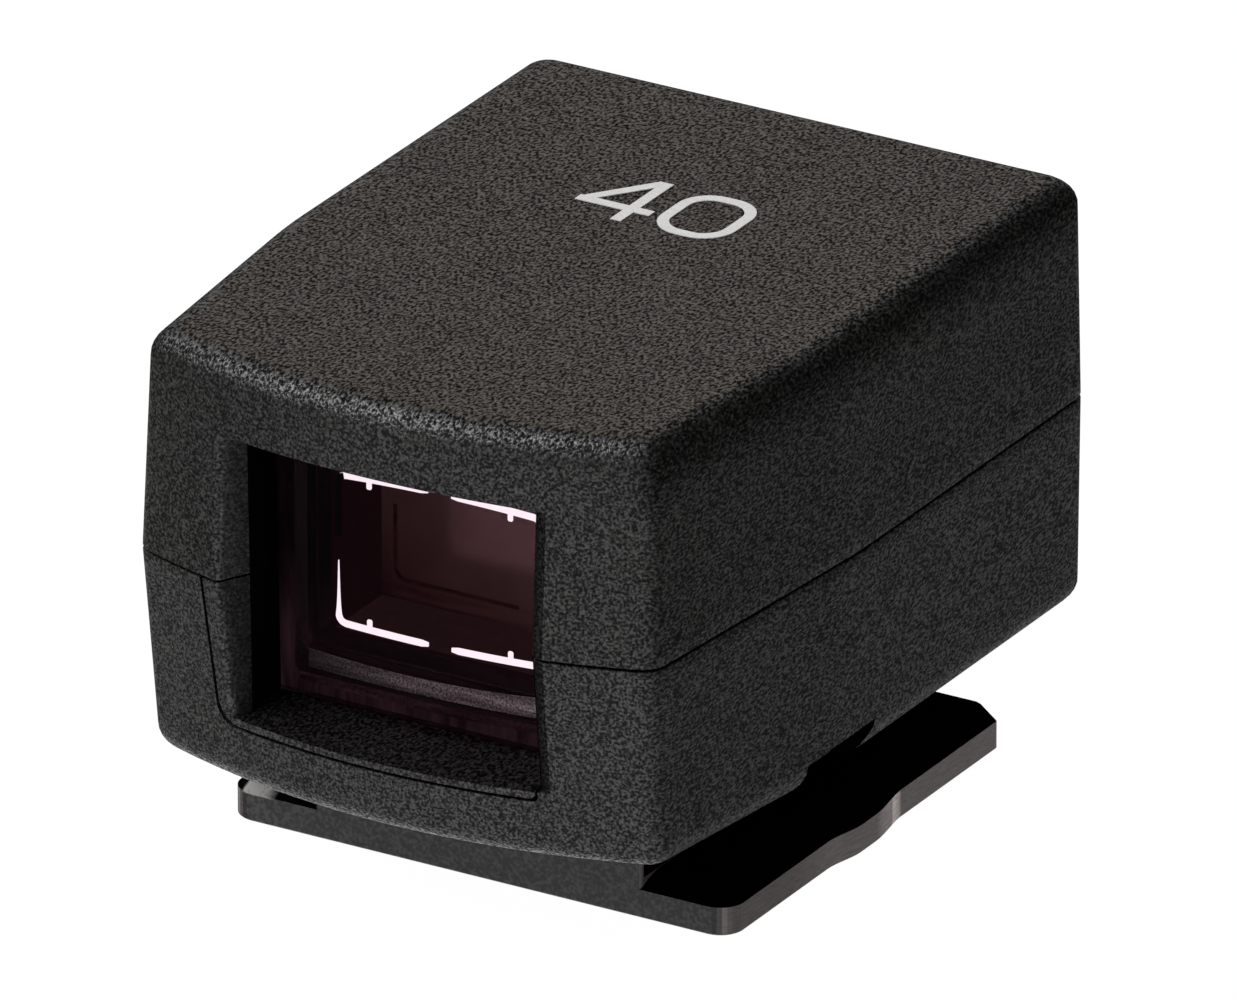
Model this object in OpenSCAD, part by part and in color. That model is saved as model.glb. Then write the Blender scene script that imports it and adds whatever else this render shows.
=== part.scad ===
// Hot-shoe optical viewfinder with bright frame lines, built as an assembly.
// Millimetres. +Z up. The eye looks in from the rear (-Y) and out of the front (+Y).
// Origin: on the underside of the accessory-shoe foot, near its centre.

/* [Shoe foot] */
// Width of the foot over its friction bumps (accessory-shoe standard)
foot_w = 18.6; // [18.4:0.05:18.65]
// How far each friction bump stands out of the long side
bump = 0.2; // [0.15:0.05:0.3]
// Length of the foot along the slide direction
foot_l = 17.45; // [17.2:0.05:17.8]
// Thickness of the foot plate in the middle
foot_t = 1.3; // [1.2:0.05:1.6]
// Height of the square edge band of the foot plate
foot_band = 1.0; // [0.85:0.05:1.1]
// Width of the neck that passes between the shoe's rails
neck_w = 11.8; // [11:0.1:12.2]
// Length of the neck
neck_l = 15.9; // [14:0.1:16.5]

/* [Housing] */
// Underside of the housing above the foot's underside
body_z0 = 3.85; // [3.7:0.01:4]
// Height of the parting line between the two covers
part_z = 11.05; // [10.5:0.01:11.5]
// Flat top of the housing
body_z1 = 18.45; // [18.2:0.01:19]
// Width of the parallel front part of the housing
body_w = 20.36; // [20:0.02:20.8]
// Width across the two rear corners
rear_w = 18.6; // [18.3:0.1:18.9]
// Front face position
front_y = 11.5; // [11.4:0.05:11.7]
// Rear corner position
rear_y = -13.85; // [-14:0.05:-13.6]
// Crown of the curved rear face
bow = 1.75; // [1.6:0.05:1.9]
// Where the sides start to converge to the rear
bend_y = -3; // [-4:0.1:-2]
// Wall thickness of both covers
wall = 1.2; // [1.1:0.05:1.3]
// Radius of the housing's long edges
edge_r = 1.0; // [0.8:0.1:1.2]
// Radius of the upright corners
corner_r = 0.8; // [0.6:0.1:1]
// Open gap at each visible seam
seam = 0.08; // [0.04:0.01:0.12]

/* [Optics] */
// Height of the optical axis
axis_z = 11; // [10.9:0.05:11.1]
// Half width of the eyepiece opening
eye_half_w = 5.42; // [5.2:0.01:5.6]
// Radius of the eye lens's convex face
eye_lens_r = 18.5; // [17:0.5:20]
// Crown of the eye lens
eye_crown_y = -13.35; // [-13.5:0.05:-13.2]
// Radius of the objective lens's concave face
objective_r = 38; // [34:1:46]
// Bright frame width (the frame is drawn a little taller than 3:2)
frame_w = 7.55; // [7:0.01:7.8]
// Height of the bright frame's centre
frame_z = 11.25; // [11.1:0.05:11.3]
// Stroke of the bright frame lines
line_w = 0.25; // [0.2:0.01:0.34]

/* [Fasteners] */
// Shank radius of the foot screws
foot_screw_r = 0.75; // [0.65:0.05:0.75]
// Shank radius of the cover screws
cover_screw_r = 0.55; // [0.5:0.05:0.55]

/* [Hidden] */
$fn = 48;
sliver = 0.01;
sides = [-1, 1];

// Eyepiece opening, centred on the optical axis
eye_z0 = axis_z - 4.5;
eye_z1 = axis_z + 4.5;

// Foot and its bare half width without the bumps
foot_y0 = -8.95;
foot_y1 = foot_y0 + foot_l;
foot_half_w = foot_w / 2 - bump;
neck_rise = 0.33;          // neck top above the housing's underside

// Screw places, [x, y]
foot_places = [for (x = [-3.4, 3.4], y = [-5.2, 3.6]) [x, y]];
cover_places = [for (pair = [[7.3, 3.2], [7.1, -8.3]], s = sides) [s * pair.x, pair.y]];
tunnel_places = [for (s = sides) [s * 7.3, -2.9]];

// Housing joints
post_r = 1.15;             // posts of the cover screws
lip_inset = 0.72;          // lower cover's lip, inside the housing's skin
lip_h = 0.9;               // lip above the parting line
hood_front_y = -12.15;

// Half sizes across the optical axis, [x, z]
window_half = [8.05, 5.15];                    // front window opening
bezel_half = window_half - [0.07, 0.07];
eye_pocket_half = [6.1, 4.85];
mirror_pocket_half = [5.15, 3.85];
objective_pocket_half = [7.25, 4.75];
flange_half = eye_pocket_half - [0.06, 0.06];  // eye lens's flange
insert_half = mirror_pocket_half - [0.07, 0.07]; // half mirror, clip and baffle
objective_half = objective_pocket_half - [0.1, 0.1];

// Stations along the optical axis
frame_plate_y = -11.0;
bezel_back_y = 10.18;
bezel_face_y = front_y - 0.15;
seal_y = [9.98, bezel_back_y - 0.02];          // objective seal and bezel adhesive

// ---------- shared shapes ----------
module above(z) {
    translate([-20, -30, z]) cube([40, 60, 30]);
}

module below(z) {
    above(z - 30);
}

// Box centred on x = 0, between the given y and z
module centred_box(half_w, y0, y1, z0, z1) {
    translate([-half_w, y0, z0]) cube([2 * half_w, y1 - y0, z1 - z0]);
}

// Box of half size [x, z] about the optical axis or another height, from y0 forwards
module axis_box(half, y0, depth, z = axis_z) {
    translate([-half[0], y0, z - half[1]]) cube([2 * half[0], depth, 2 * half[1]]);
}

// Rectangular ring about the optical axis
module ring(outer, inner, y0, y1) {
    difference() {
        axis_box(outer, y0, y1 - y0);
        axis_box(inner, y0 - 1, y1 - y0 + 2);
    }
}

module at(places) {
    for (place = places) translate([place.x, place.y, 0]) children();
}

module posts(places, z0, z1, radius) {
    at(places) translate([0, 0, z0]) cylinder(r = radius, h = z1 - z0);
}

// Turned block that clips a corner or an edge
module corner_cut(place, size, turn = [0, 45, 0]) {
    translate(place) rotate(turn) cube(size, center = true);
}

// Cross slot in a screw's head
module cross_slot(turn, z, size) {
    for (angle = [0, 90]) rotate([0, 0, angle + turn]) translate([0, 0, z]) cube(size, center = true);
}

// Pair of upright side tabs, 0.24 thick, running along the tunnel's walls
module side_tabs(y0, length, height) {
    for (s = sides) translate([s * 4.93 - 0.12, y0, axis_z - height / 2]) cube([0.24, length, height]);
}

// ---------- housing outline ----------
// Change of each outline value at the housing's [top, bottom]
front_draft = [-0.17, -0.08];
rear_draft = [-0.20, -0.15];
rear_y_draft = [0.34, 0.75];
bend_draft = [-1.24, -2.2];
rear_steps = 12;

// Share of the draft at height z: 0 at the parting line, 1 at the top or bottom
function share_above(z) = max(0, (z - part_z) / (body_z1 - part_z));
function share_below(z) = max(0, (part_z - z) / (part_z - body_z0));
function drafted(base, draft, z) = base + draft[0] * share_above(z) + draft[1] * share_below(z);

function outline(z) =
    let (front_x = drafted(body_w / 2, front_draft, z),
         rear_x = drafted(rear_w / 2, rear_draft, z),
         corner_y = drafted(rear_y, rear_y_draft, z),
         flank_y = drafted(bend_y, bend_draft, z))
    concat(
        [[front_x, front_y], [-front_x, front_y], [-front_x, flank_y]],
        [for (i = [0:rear_steps]) let (x = -rear_x + 2 * rear_x * i / rear_steps)
            [x, corner_y - bow * (1 - pow(x / rear_x, 2))]],
        [[front_x, flank_y]]);

// Thin slice of the housing at height z
module slab(z, inset) {
    translate([0, 0, z - sliver / 2]) linear_extrude(sliver)
        offset(r = corner_r, $fn = 16) offset(delta = -(corner_r + inset))
            polygon(outline(z));
}

// The housing's outer form, drawn the inset inside its skin
module form(inset) {
    round_r = max(0.3, edge_r - inset * 0.6);
    hull() {
        for (angle = [0:30:90]) {
            drop = inset + round_r * (1 - sin(angle)) + sliver;
            side = inset + round_r * (1 - cos(angle));
            slab(body_z0 + drop, side);
            slab(body_z1 - drop, side);
        }
        slab(part_z, inset);
    }
}

// ---------- eyepiece recess and hood ----------
// Splayed cheeks, and a shallow sloping floor and roof
module recess() {
    inner_y = -11.6;
    cheek_y = -13.85;      // the cheeks splay from here to the rear
    slope_y = -12.3;       // the floor and roof slope from here to the rear
    outer_y = -17.2;
    splay = 1.8;
    floor_drop = 0.28;
    roof_rise = 0.68;
    intersection() {
        linear_extrude(24) polygon([
            [eye_half_w, inner_y], [eye_half_w, cheek_y], [eye_half_w + splay, outer_y],
            [-eye_half_w - splay, outer_y], [-eye_half_w, cheek_y], [-eye_half_w, inner_y]]);
        translate([-12, 0, 0]) rotate([90, 0, 90]) linear_extrude(24) polygon([
            [inner_y, eye_z0], [slope_y, eye_z0], [outer_y, eye_z0 - floor_drop],
            [outer_y, eye_z1 + roof_rise], [slope_y, eye_z1], [inner_y, eye_z1]]);
    }
}

function arc_points(centre, radius, start, end, steps) = [
    for (i = [0:steps]) let (angle = start + (end - start) * i / steps)
        [centre.x + radius * cos(angle), centre.y + radius * sin(angle)]];

// Separate lower hood, seen from the rear: the left (-X) side leans out
// towards its top, the right side is upright
module hood_prism(grow, y0, y1) {
    left_top = 6.48 + grow;
    left_low = 6.1 + grow;
    right = 5.93 + grow;
    bottom = 6.08 - grow;
    left_r = 0.8;
    right_r = 0.2;
    top = part_z + 0.3;
    translate([0, y1, 0]) rotate([90, 0, 0]) linear_extrude(y1 - y0) polygon(concat(
        [[right, top], [-left_top, top]],
        arc_points([-left_low + left_r, bottom + left_r], left_r, 180, 270, 6),
        arc_points([right - right_r, bottom + right_r], right_r, 270, 360, 3)));
}

// ---------- covers ----------
module top_cover() {
    color([0.20, 0.19, 0.18]) difference() {
        union() {
            difference() {
                intersection() {
                    form(0);
                    above(part_z + seam / 2);
                }
                // hollow, with a rebate for the lower cover's lip
                form(wall);
                intersection() {
                    form(lip_inset - 0.1);
                    below(part_z + lip_h + 0.1);
                }
            }
            // upper hood block around the eyepiece
            intersection() {
                form(0.4);
                centred_box(6.6, -16, hood_front_y, part_z + seam / 2, 17.6);
            }
            // screw posts, hanging from the roof
            posts(cover_places, part_z + 1.1, body_z1 - wall + 0.3, post_r);
        }
        recess();
        // screw pilots
        posts(cover_places, part_z, 14.6, cover_screw_r + 0.05);
        // front window opening
        centred_box(window_half[0], 9.0, 12, 0, axis_z + window_half[1]);
        // clearance of the lens flange and seal, in front of the hood
        centred_box(6.15, -12.2, -10, 0, 15.95);
    }
}

// Lip that locates the upper cover, open behind the eyepiece
module locating_lip() {
    difference() {
        intersection() {
            form(lip_inset);
            above(part_z - 1.5);
            below(part_z + lip_h);
        }
        centred_box(6.75, -17, -11, 0, 20);
    }
}

module bottom_cover() {
    post_z0 = body_z0 + 0.5;
    neck_gap = 0.1;
    notch = [3.4, 3.9, body_z0 + 1.1];
    color([0.19, 0.185, 0.18]) difference() {
        union() {
            difference() {
                union() {
                    intersection() {
                        form(0);
                        below(part_z - seam / 2);
                    }
                    locating_lip();
                }
                form(wall);
            }
            // screw posts, thicker around the heads
            posts(cover_places, post_z0, part_z + 1.0, post_r);
            posts(cover_places, post_z0, 7.0, 1.4);
            // ledge posts for the lens tunnel's ears
            posts(tunnel_places, post_z0, 8.55, 1.1);
        }
        // opening for the separate lower hood
        hood_prism(seam / 2 + 0.02, -17, -11.9);
        // front window opening
        centred_box(window_half[0], 9.0, 12, axis_z - window_half[1], 20);
        // counterbores and clearance holes of the cover screws
        posts(cover_places, 0, 6.2, 1.0);
        posts(cover_places, 0, 20, cover_screw_r + 0.1);
        // pilots for the tunnel screws
        posts(tunnel_places, 5.2, 11.2, 0.55);
        // shallow seat for the foot's neck
        centred_box(neck_w / 2 + neck_gap, foot_y0 - neck_gap, foot_y0 + neck_l + neck_gap,
            0, body_z0 + neck_rise + 0.04);
        // clearance holes of the foot screws
        posts(foot_places, 0, 7, foot_screw_r + 0.1);
        // notches in the lower edge of both flanks
        for (s = sides) translate([s * 10.6 - notch.x / 2, -5.7, 0]) cube(notch);
    }
}

module hood_insert() {
    color([0.20, 0.19, 0.185]) difference() {
        union() {
            intersection() {
                form(0.02);
                hood_prism(-seam / 2, -17, hood_front_y);
                below(part_z - seam / 2);
            }
            // hidden flange along the lower edge
            translate([-6.1, -12.9, 5.5]) cube([11.9, 0.75, 1.5]);
        }
        recess();
    }
}

// ---------- optics, from the eye forwards ----------
// Boxes along the tunnel: [half size, rear y, length, centre z]
tunnel_solids = [
    [[6.75, 5.4], -12.02, 1.92, axis_z],            // eye lens seat
    [[5.85, 4.55], -10.2, 18.0, axis_z],            // tunnel
    [[7.75, 5.3], 7.6, 2.35, axis_z]];              // objective seat
tunnel_hollows = [
    [eye_pocket_half, -12.5, 1.1, axis_z],          // eye lens's flange
    [[5.15, 4.15], -11.5, 1.1, axis_z],             // pocket around the frame plate
    [[4.25, 3.1], -11, 8, frame_z],                 // light tube
    [mirror_pocket_half, -7.6, 16, axis_z],         // half mirror, loaded from the front
    [objective_pocket_half, 8.12, 4, axis_z]];      // objective lens

// Inner chassis: carries the whole lens stack
module lens_tunnel() {
    color([0.06, 0.055, 0.055]) difference() {
        union() {
            for (row = tunnel_solids) axis_box(row[0], row[1], row[2], row[3]);
            // ears for the two tunnel screws
            centred_box(8.2, -4.2, -1.6, 8.62, 9.42);
        }
        for (row = tunnel_hollows) axis_box(row[0], row[1], row[2], row[3]);
        // ear holes
        posts(tunnel_places, 8, 11, 0.7);
    }
}

module eyepiece_lens() {
    color([0.35, 0.12, 0.16, 0.5]) union() {
        intersection() {
            translate([0, eye_crown_y + eye_lens_r, axis_z]) sphere(r = eye_lens_r, $fn = 128);
            axis_box([5.36, 4.42], -13.6, 2.15);
        }
        // flange
        axis_box(flange_half, -11.98, 0.53);
    }
}

// Thin foam frame between the lens flange and the hood
module eyepiece_seal() {
    color([0.05, 0.05, 0.05]) ring([6.0, 4.75], [5.6, 4.55], -12.13, -12.0);
}

module frame_line_plate() {
    half = [4.7, 3.45];
    color([0.5, 0.35, 0.38, 0.4]) difference() {
        axis_box(half, frame_plate_y, 0.58, frame_z);
        // the clipped lower left corner keys the plate; a thin web is left at the front
        corner_cut([-half[0], frame_plate_y - 1, frame_z - half[1]], [0.7, 3, 0.7]);
    }
}

// Lower left corner of the frame: two legs joined by a rounded elbow, with a tick
module frame_corner() {
    half_w = frame_w / 2;
    half_h = frame_w / 1.385 / 2;
    elbow_r = 0.45;
    side_gap = 0.36;       // half the gap in the middle of each upright side
    level_gap = 0.41;      // half the gap in the middle of the top and bottom
    // upright leg
    translate([-half_w, -half_h + elbow_r]) square([line_w, half_h - elbow_r - side_gap]);
    // level leg
    translate([-half_w + elbow_r, -half_h]) square([half_w - elbow_r - level_gap, line_w]);
    // elbow
    translate([-half_w + elbow_r, -half_h + elbow_r]) intersection() {
        difference() {
            circle(r = elbow_r);
            circle(r = elbow_r - line_w);
        }
        translate([-elbow_r - 1, -elbow_r - 1]) square([elbow_r + 1, elbow_r + 1]);
    }
    // tick, pointing inwards
    translate([-2.64, -half_h + line_w - 0.02]) square([0.2, 0.27]);
}

module bright_frame_lines() {
    color("white") for (flip_x = [0, 1], flip_z = [0, 1])
        translate([0, frame_plate_y - 0.01, frame_z]) rotate([90, 0, 0]) linear_extrude(0.05)
            mirror([flip_x, 0]) mirror([0, flip_z]) frame_corner();
}

// Upright plate with its two lower corners clipped
module half_mirror_plate() {
    color([0.45, 0.3, 0.3, 0.5]) difference() {
        axis_box(insert_half, -7.57, 0.6);
        for (s = sides)
            corner_cut([s * insert_half[0], -7.3, axis_z - insert_half[1]], [0.6, 3, 0.6]);
    }
}

// Sprung frame that holds the half mirror against its seat
module mirror_clip() {
    color([0.1, 0.1, 0.1]) union() {
        ring(insert_half, [4.4, 3.2], -6.94, -6.74);
        side_tabs(y0 = -6.8, length = 3.0, height = 2.4);
    }
}

// Blackened sheet with a rectangular aperture, inside the tunnel
module tunnel_baffle() {
    color([0.05, 0.05, 0.05]) union() {
        ring(insert_half, [4.5, 3.3], 1.0, 1.2);
        side_tabs(y0 = 1.1, length = 1.6, height = 2.0);
    }
}

// Flock liners on the tunnel's floor and roof, in front of the baffle
module light_trap_liners() {
    size = [9.4, 6.1, 0.2];
    color([0.03, 0.03, 0.03]) for (s = sides)
        translate([-size.x / 2, 1.3, axis_z + s * 3.72 - size.z / 2]) difference() {
            cube(size);
            // clipped front corners
            for (x = [0, size.x]) corner_cut([x, size.y, -1], [0.8, 0.8, 4], [0, 0, 45]);
        }
}

// Concave to the rear, with all four corners clipped
module objective_lens() {
    color([0.4, 0.35, 0.45, 0.45]) difference() {
        axis_box(objective_half, 8.16, 1.8);
        translate([0, 9.05 - objective_r, axis_z]) sphere(r = objective_r, $fn = 160);
        for (a = sides, b = sides)
            corner_cut([a * objective_half[0], 9, axis_z + b * objective_half[1]], [0.7, 4, 0.7]);
    }
}

module objective_seal() {
    color([0.05, 0.05, 0.05]) ring([7.1, 4.6], [6.75, 4.25], seal_y[0], seal_y[1]);
}

// Double-sided adhesive frame behind the bezel
module bezel_adhesive() {
    color([0.12, 0.12, 0.12]) ring([7.72, 5.02], [7.3, 4.7], seal_y[0], seal_y[1]);
}

module front_bezel() {
    window = [13.2, 8.2];
    chamfer = 0.5;         // side of the turned bars that chamfer the window
    color([0.07, 0.07, 0.07]) difference() {
        union() {
            axis_box(bezel_half, bezel_back_y, bezel_face_y - bezel_back_y);
            // two side skirts that slide over the tunnel's objective seat
            ring(bezel_half, [7.80, 5.35], 9.4, 10.3);
        }
        // window, chamfered at the front
        translate([0, front_y, axis_z]) rotate([90, 0, 0]) linear_extrude(2.4)
            square(window, center = true);
        for (s = sides) {
            corner_cut([s * window.x / 2, bezel_face_y, axis_z],
                [chamfer, chamfer, window.y], [0, 0, s * 45]);
            corner_cut([0, bezel_face_y, axis_z + s * window.y / 2],
                [window.x, chamfer, chamfer], [45, 0, 0]);
        }
    }
}

// ---------- shoe foot ----------
// Plan of the foot: rear corners rounded, front corners cut
module foot_plan() {
    half_w = foot_half_w;
    rear_r = 1;
    cut = [1.15, 0.9];
    translate([-half_w, foot_y0 + rear_r]) square([2 * half_w, foot_l - rear_r - cut.y]);
    translate([-half_w + rear_r, foot_y0]) square([2 * (half_w - rear_r), 1.2]);
    for (s = sides) translate([s * (half_w - rear_r), foot_y0 + rear_r]) circle(r = rear_r);
    polygon([
        [-half_w, foot_y1 - cut.y], [-half_w + cut.x, foot_y1],
        [half_w - cut.x, foot_y1], [half_w, foot_y1 - cut.y],
        [half_w, foot_y1 - 1.5], [-half_w, foot_y1 - 1.5]]);
}

// Friction bump: [distance out from the foot's long side, y]
bump_points = [[-0.5, -3.1], [0, -3.0], [bump, -1.5], [bump, -0.3], [0, 1.6], [-0.5, 1.7]];

module shoe_foot() {
    half_w = foot_half_w;
    slope_w = 0.9;
    hole_r = foot_screw_r + 0.1;
    sink_r = 1.6;
    sink_z = 0.95;
    color([0.10, 0.10, 0.10]) difference() {
        union() {
            linear_extrude(foot_band) foot_plan();
            // shallow sloping band up to the middle of the plate
            intersection() {
                linear_extrude(foot_t) foot_plan();
                translate([0, foot_y1 + 1, 0]) rotate([90, 0, 0]) linear_extrude(foot_l + 2)
                    polygon([
                        [-half_w, 0], [half_w, 0], [half_w, foot_band],
                        [half_w - slope_w, foot_t], [-half_w + slope_w, foot_t],
                        [-half_w, foot_band]]);
            }
            for (s = sides) linear_extrude(foot_band)
                polygon([for (point = bump_points) [s * (half_w + point.x), point.y]]);
            // neck
            centred_box(neck_w / 2, foot_y0, foot_y0 + neck_l, 0.5, body_z0 + neck_rise);
        }
        // countersunk holes for the foot screws
        posts(foot_places, -1, 7, hole_r);
        at(foot_places) rotate_extrude() polygon([
            [0, -0.2], [sink_r, -0.2], [sink_r, 0.12], [hole_r, sink_z], [0, sink_z]]);
    }
}

// Tapped plate inside the lower cover that the foot screws pull against
module foot_nut_plate() {
    half_w = 4.9;
    rear = -6.8;
    front = 5.2;
    color([0.55, 0.56, 0.58]) difference() {
        translate([-half_w, rear, body_z0 + wall + 0.04]) cube([2 * half_w, front - rear, 0.85]);
        posts(foot_places, 0, 8, foot_screw_r + 0.03);
        for (s = sides, y = [rear, front]) corner_cut([s * half_w, y, 5], [1, 1, 4], [0, 0, 45]);
    }
}

// ---------- screws ----------
module foot_screws() {
    head_r = 1.45;
    color([0.12, 0.12, 0.12]) at(foot_places) difference() {
        union() {
            rotate_extrude() polygon([
                [0, 0.06], [head_r, 0.06], [head_r, 0.16], [foot_screw_r, 0.86], [0, 0.86]]);
            translate([0, 0, 0.5]) cylinder(r = foot_screw_r, h = 5.7);
        }
        cross_slot(turn = 20, z = 0.2, size = [1.5, 0.26, 0.7]);
    }
}

module cover_screws() {
    color([0.15, 0.15, 0.15]) at(cover_places) difference() {
        union() {
            // head, shank and point
            translate([0, 0, 5.45]) cylinder(r = 0.9, h = 0.72);
            translate([0, 0, 6.1]) cylinder(r = cover_screw_r, h = 7.9);
            translate([0, 0, 14.0]) cylinder(r1 = cover_screw_r, r2 = 0.1, h = 0.45);
        }
        cross_slot(turn = 35, z = 5.5, size = [1.0, 0.22, 0.8]);
    }
}

module tunnel_screws() {
    color([0.6, 0.6, 0.62]) at(tunnel_places) difference() {
        union() {
            // head and shank
            translate([0, 0, 9.45]) cylinder(r = 0.95, h = 0.55);
            translate([0, 0, 5.6]) cylinder(r = 0.5, h = 4);
        }
        cross_slot(turn = 10, z = 9.95, size = [1.0, 0.2, 0.6]);
    }
}

// ---------- numerals ----------
stroke = 0.38;
digit_half_h = 1.64;

module digit_four() {
    translate([-0.87 - stroke / 2, -digit_half_h]) square([stroke, 2 * digit_half_h]);
    translate([-2.81, -0.84]) square([2.68, stroke]);
    polygon([
        [-1.16, digit_half_h], [-0.7, digit_half_h],
        [-2.26, -0.47], [-2.81, -0.47], [-2.81, -0.6]]);
}

module nought_disc(radius) {
    hull() for (x = [1.27, 1.67], y = [-0.5, 0.5]) translate([x, y]) circle(r = radius, $fn = 40);
}

// Focal length, 40, printed on the roof: one stroke width, square ends
module top_numerals() {
    nought_r = 1.13;
    color([0.82, 0.82, 0.80]) translate([0.09, 2.43, body_z1 + 0.005]) linear_extrude(0.03) {
        digit_four();
        difference() {
            nought_disc(nought_r);
            nought_disc(nought_r - stroke);
        }
    }
}

top_cover();
bottom_cover();
hood_insert();
lens_tunnel();
eyepiece_lens();
eyepiece_seal();
frame_line_plate();
bright_frame_lines();
half_mirror_plate();
mirror_clip();
tunnel_baffle();
objective_lens();
objective_seal();
front_bezel();
shoe_foot();
foot_nut_plate();
foot_screws();
cover_screws();
tunnel_screws();
top_numerals();
bezel_adhesive();
light_trap_liners();
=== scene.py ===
# Hot-shoe viewfinder: grained plastic housing, rear eyepiece with bright frame lines, and shoe foot.
# +X is right as seen from behind, +Y is the front, -Y is the eyepiece end, +Z is up, and the
# underside of the foot lies at z = 0. Sizes are in millimetres; meshes are stored in metres.
import math
import bpy
import bmesh
from mathutils import Matrix, Vector


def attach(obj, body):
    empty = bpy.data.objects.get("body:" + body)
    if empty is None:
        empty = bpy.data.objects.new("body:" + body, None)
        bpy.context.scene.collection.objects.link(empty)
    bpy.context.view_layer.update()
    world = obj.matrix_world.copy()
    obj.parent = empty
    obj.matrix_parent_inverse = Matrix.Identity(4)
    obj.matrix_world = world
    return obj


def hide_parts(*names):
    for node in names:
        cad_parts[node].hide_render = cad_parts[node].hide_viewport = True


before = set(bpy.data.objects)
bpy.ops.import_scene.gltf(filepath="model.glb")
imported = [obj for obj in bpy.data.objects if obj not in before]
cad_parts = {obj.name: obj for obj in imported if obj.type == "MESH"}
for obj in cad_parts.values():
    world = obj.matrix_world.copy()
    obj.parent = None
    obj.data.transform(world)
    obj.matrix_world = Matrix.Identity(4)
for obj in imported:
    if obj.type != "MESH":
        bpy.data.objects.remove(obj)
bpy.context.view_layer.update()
MM = 0.001                                  # metres in a millimetre

# ------------------------------------------------------------------ housing sizes
EDGE_ROUND = 1.0                            # top and bottom edges
CORNER_ROUND = 0.85                         # upright corners
BEND_ROUND = 22.0                           # where each side turns inwards
BODY_BOTTOM, PARTING_Z, BODY_TOP = 3.85, 11.05, 18.45
FRONT_Y, REAR_Y, BEND_Y = 11.5, -13.85, -3.0
REAR_BOW = 1.75                             # how far the rear face bows
FRONT_HALF_WIDTH, REAR_HALF_WIDTH = 10.18, 9.3
WALL = 1.2
SEAM = 0.08                                 # gap between mouldings
EYE_HALF_WIDTH, EYE_BOTTOM, EYE_TOP = 5.42, 6.5, 15.5
AXIS_Z = (EYE_BOTTOM + EYE_TOP) / 2


# ------------------------------------------------------------------ outlines
def lerp(start, end, t):
    return start + (end - start) * t


def sweep(centre_x, centre_y, radius, start, end, steps):
    """Arc between two angles in radians, both ends included."""
    angles = [lerp(start, end, i / steps) for i in range(steps + 1)]
    return [(centre_x + radius * math.cos(a), centre_y + radius * math.sin(a)) for a in angles]


def quarter(centre_x, centre_y, radius, start, steps):
    """Quarter turn from an angle in degrees, both ends included."""
    angles = [math.radians(start + 90 * i / steps) for i in range(steps + 1)]
    return [(centre_x + radius * math.cos(a), centre_y + radius * math.sin(a)) for a in angles]


def straight(start, end, steps):
    """Points between two ends, leaving out the ends."""
    return [(lerp(start[0], end[0], i / steps), lerp(start[1], end[1], i / steps))
            for i in range(1, steps)]


def circle(x, y, radius, count):
    return [(x + radius * math.cos(2 * math.pi * i / count),
             y + radius * math.sin(2 * math.pi * i / count)) for i in range(count)]


def rounded_rectangle(half_width, low, high, radius, steps):
    left, right = -half_width + radius, half_width - radius
    bottom, top = low + radius, high - radius
    corners = ((right, top, 0), (left, top, 90), (left, bottom, 180), (right, bottom, 270))
    return [p for x, y, start in corners for p in quarter(x, y, radius, start, steps)]


def mirrored(half):
    """Closes a right half that runs from centre line to centre line."""
    return half + [(-x, y) for x, y in half[1:-1]][::-1]


def distance_to_circle(x, y, along_x, along_y, radius):
    """Travel from (x, y) along a unit direction to a circle about the origin."""
    along = x * along_x + y * along_y
    return -along + math.sqrt(along * along - (x * x + y * y - radius * radius))


# The housing tapers away from the parting line, both upwards and downwards.
def above_parting(z):
    return max(0.0, (z - PARTING_Z) / (BODY_TOP - PARTING_Z))


def below_parting(z):
    return max(0.0, (PARTING_Z - z) / (PARTING_Z - BODY_BOTTOM))


def front_half_width(z):
    return FRONT_HALF_WIDTH - 0.17 * above_parting(z) - 0.08 * below_parting(z)


def rear_half_width(z):
    return REAR_HALF_WIDTH - 0.20 * above_parting(z) - 0.15 * below_parting(z)


def rear_y(z):
    return REAR_Y + 0.34 * above_parting(z) + 0.75 * below_parting(z)


def bend_y(z):
    return BEND_Y - 1.24 * above_parting(z) - 2.2 * below_parting(z)


def rear_arc(z):
    """Radius of the bowed rear face and the y of its centre."""
    half = rear_half_width(z)
    radius = (half * half + REAR_BOW * REAR_BOW) / (2 * REAR_BOW)
    return radius, rear_y(z) - REAR_BOW + radius


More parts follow.
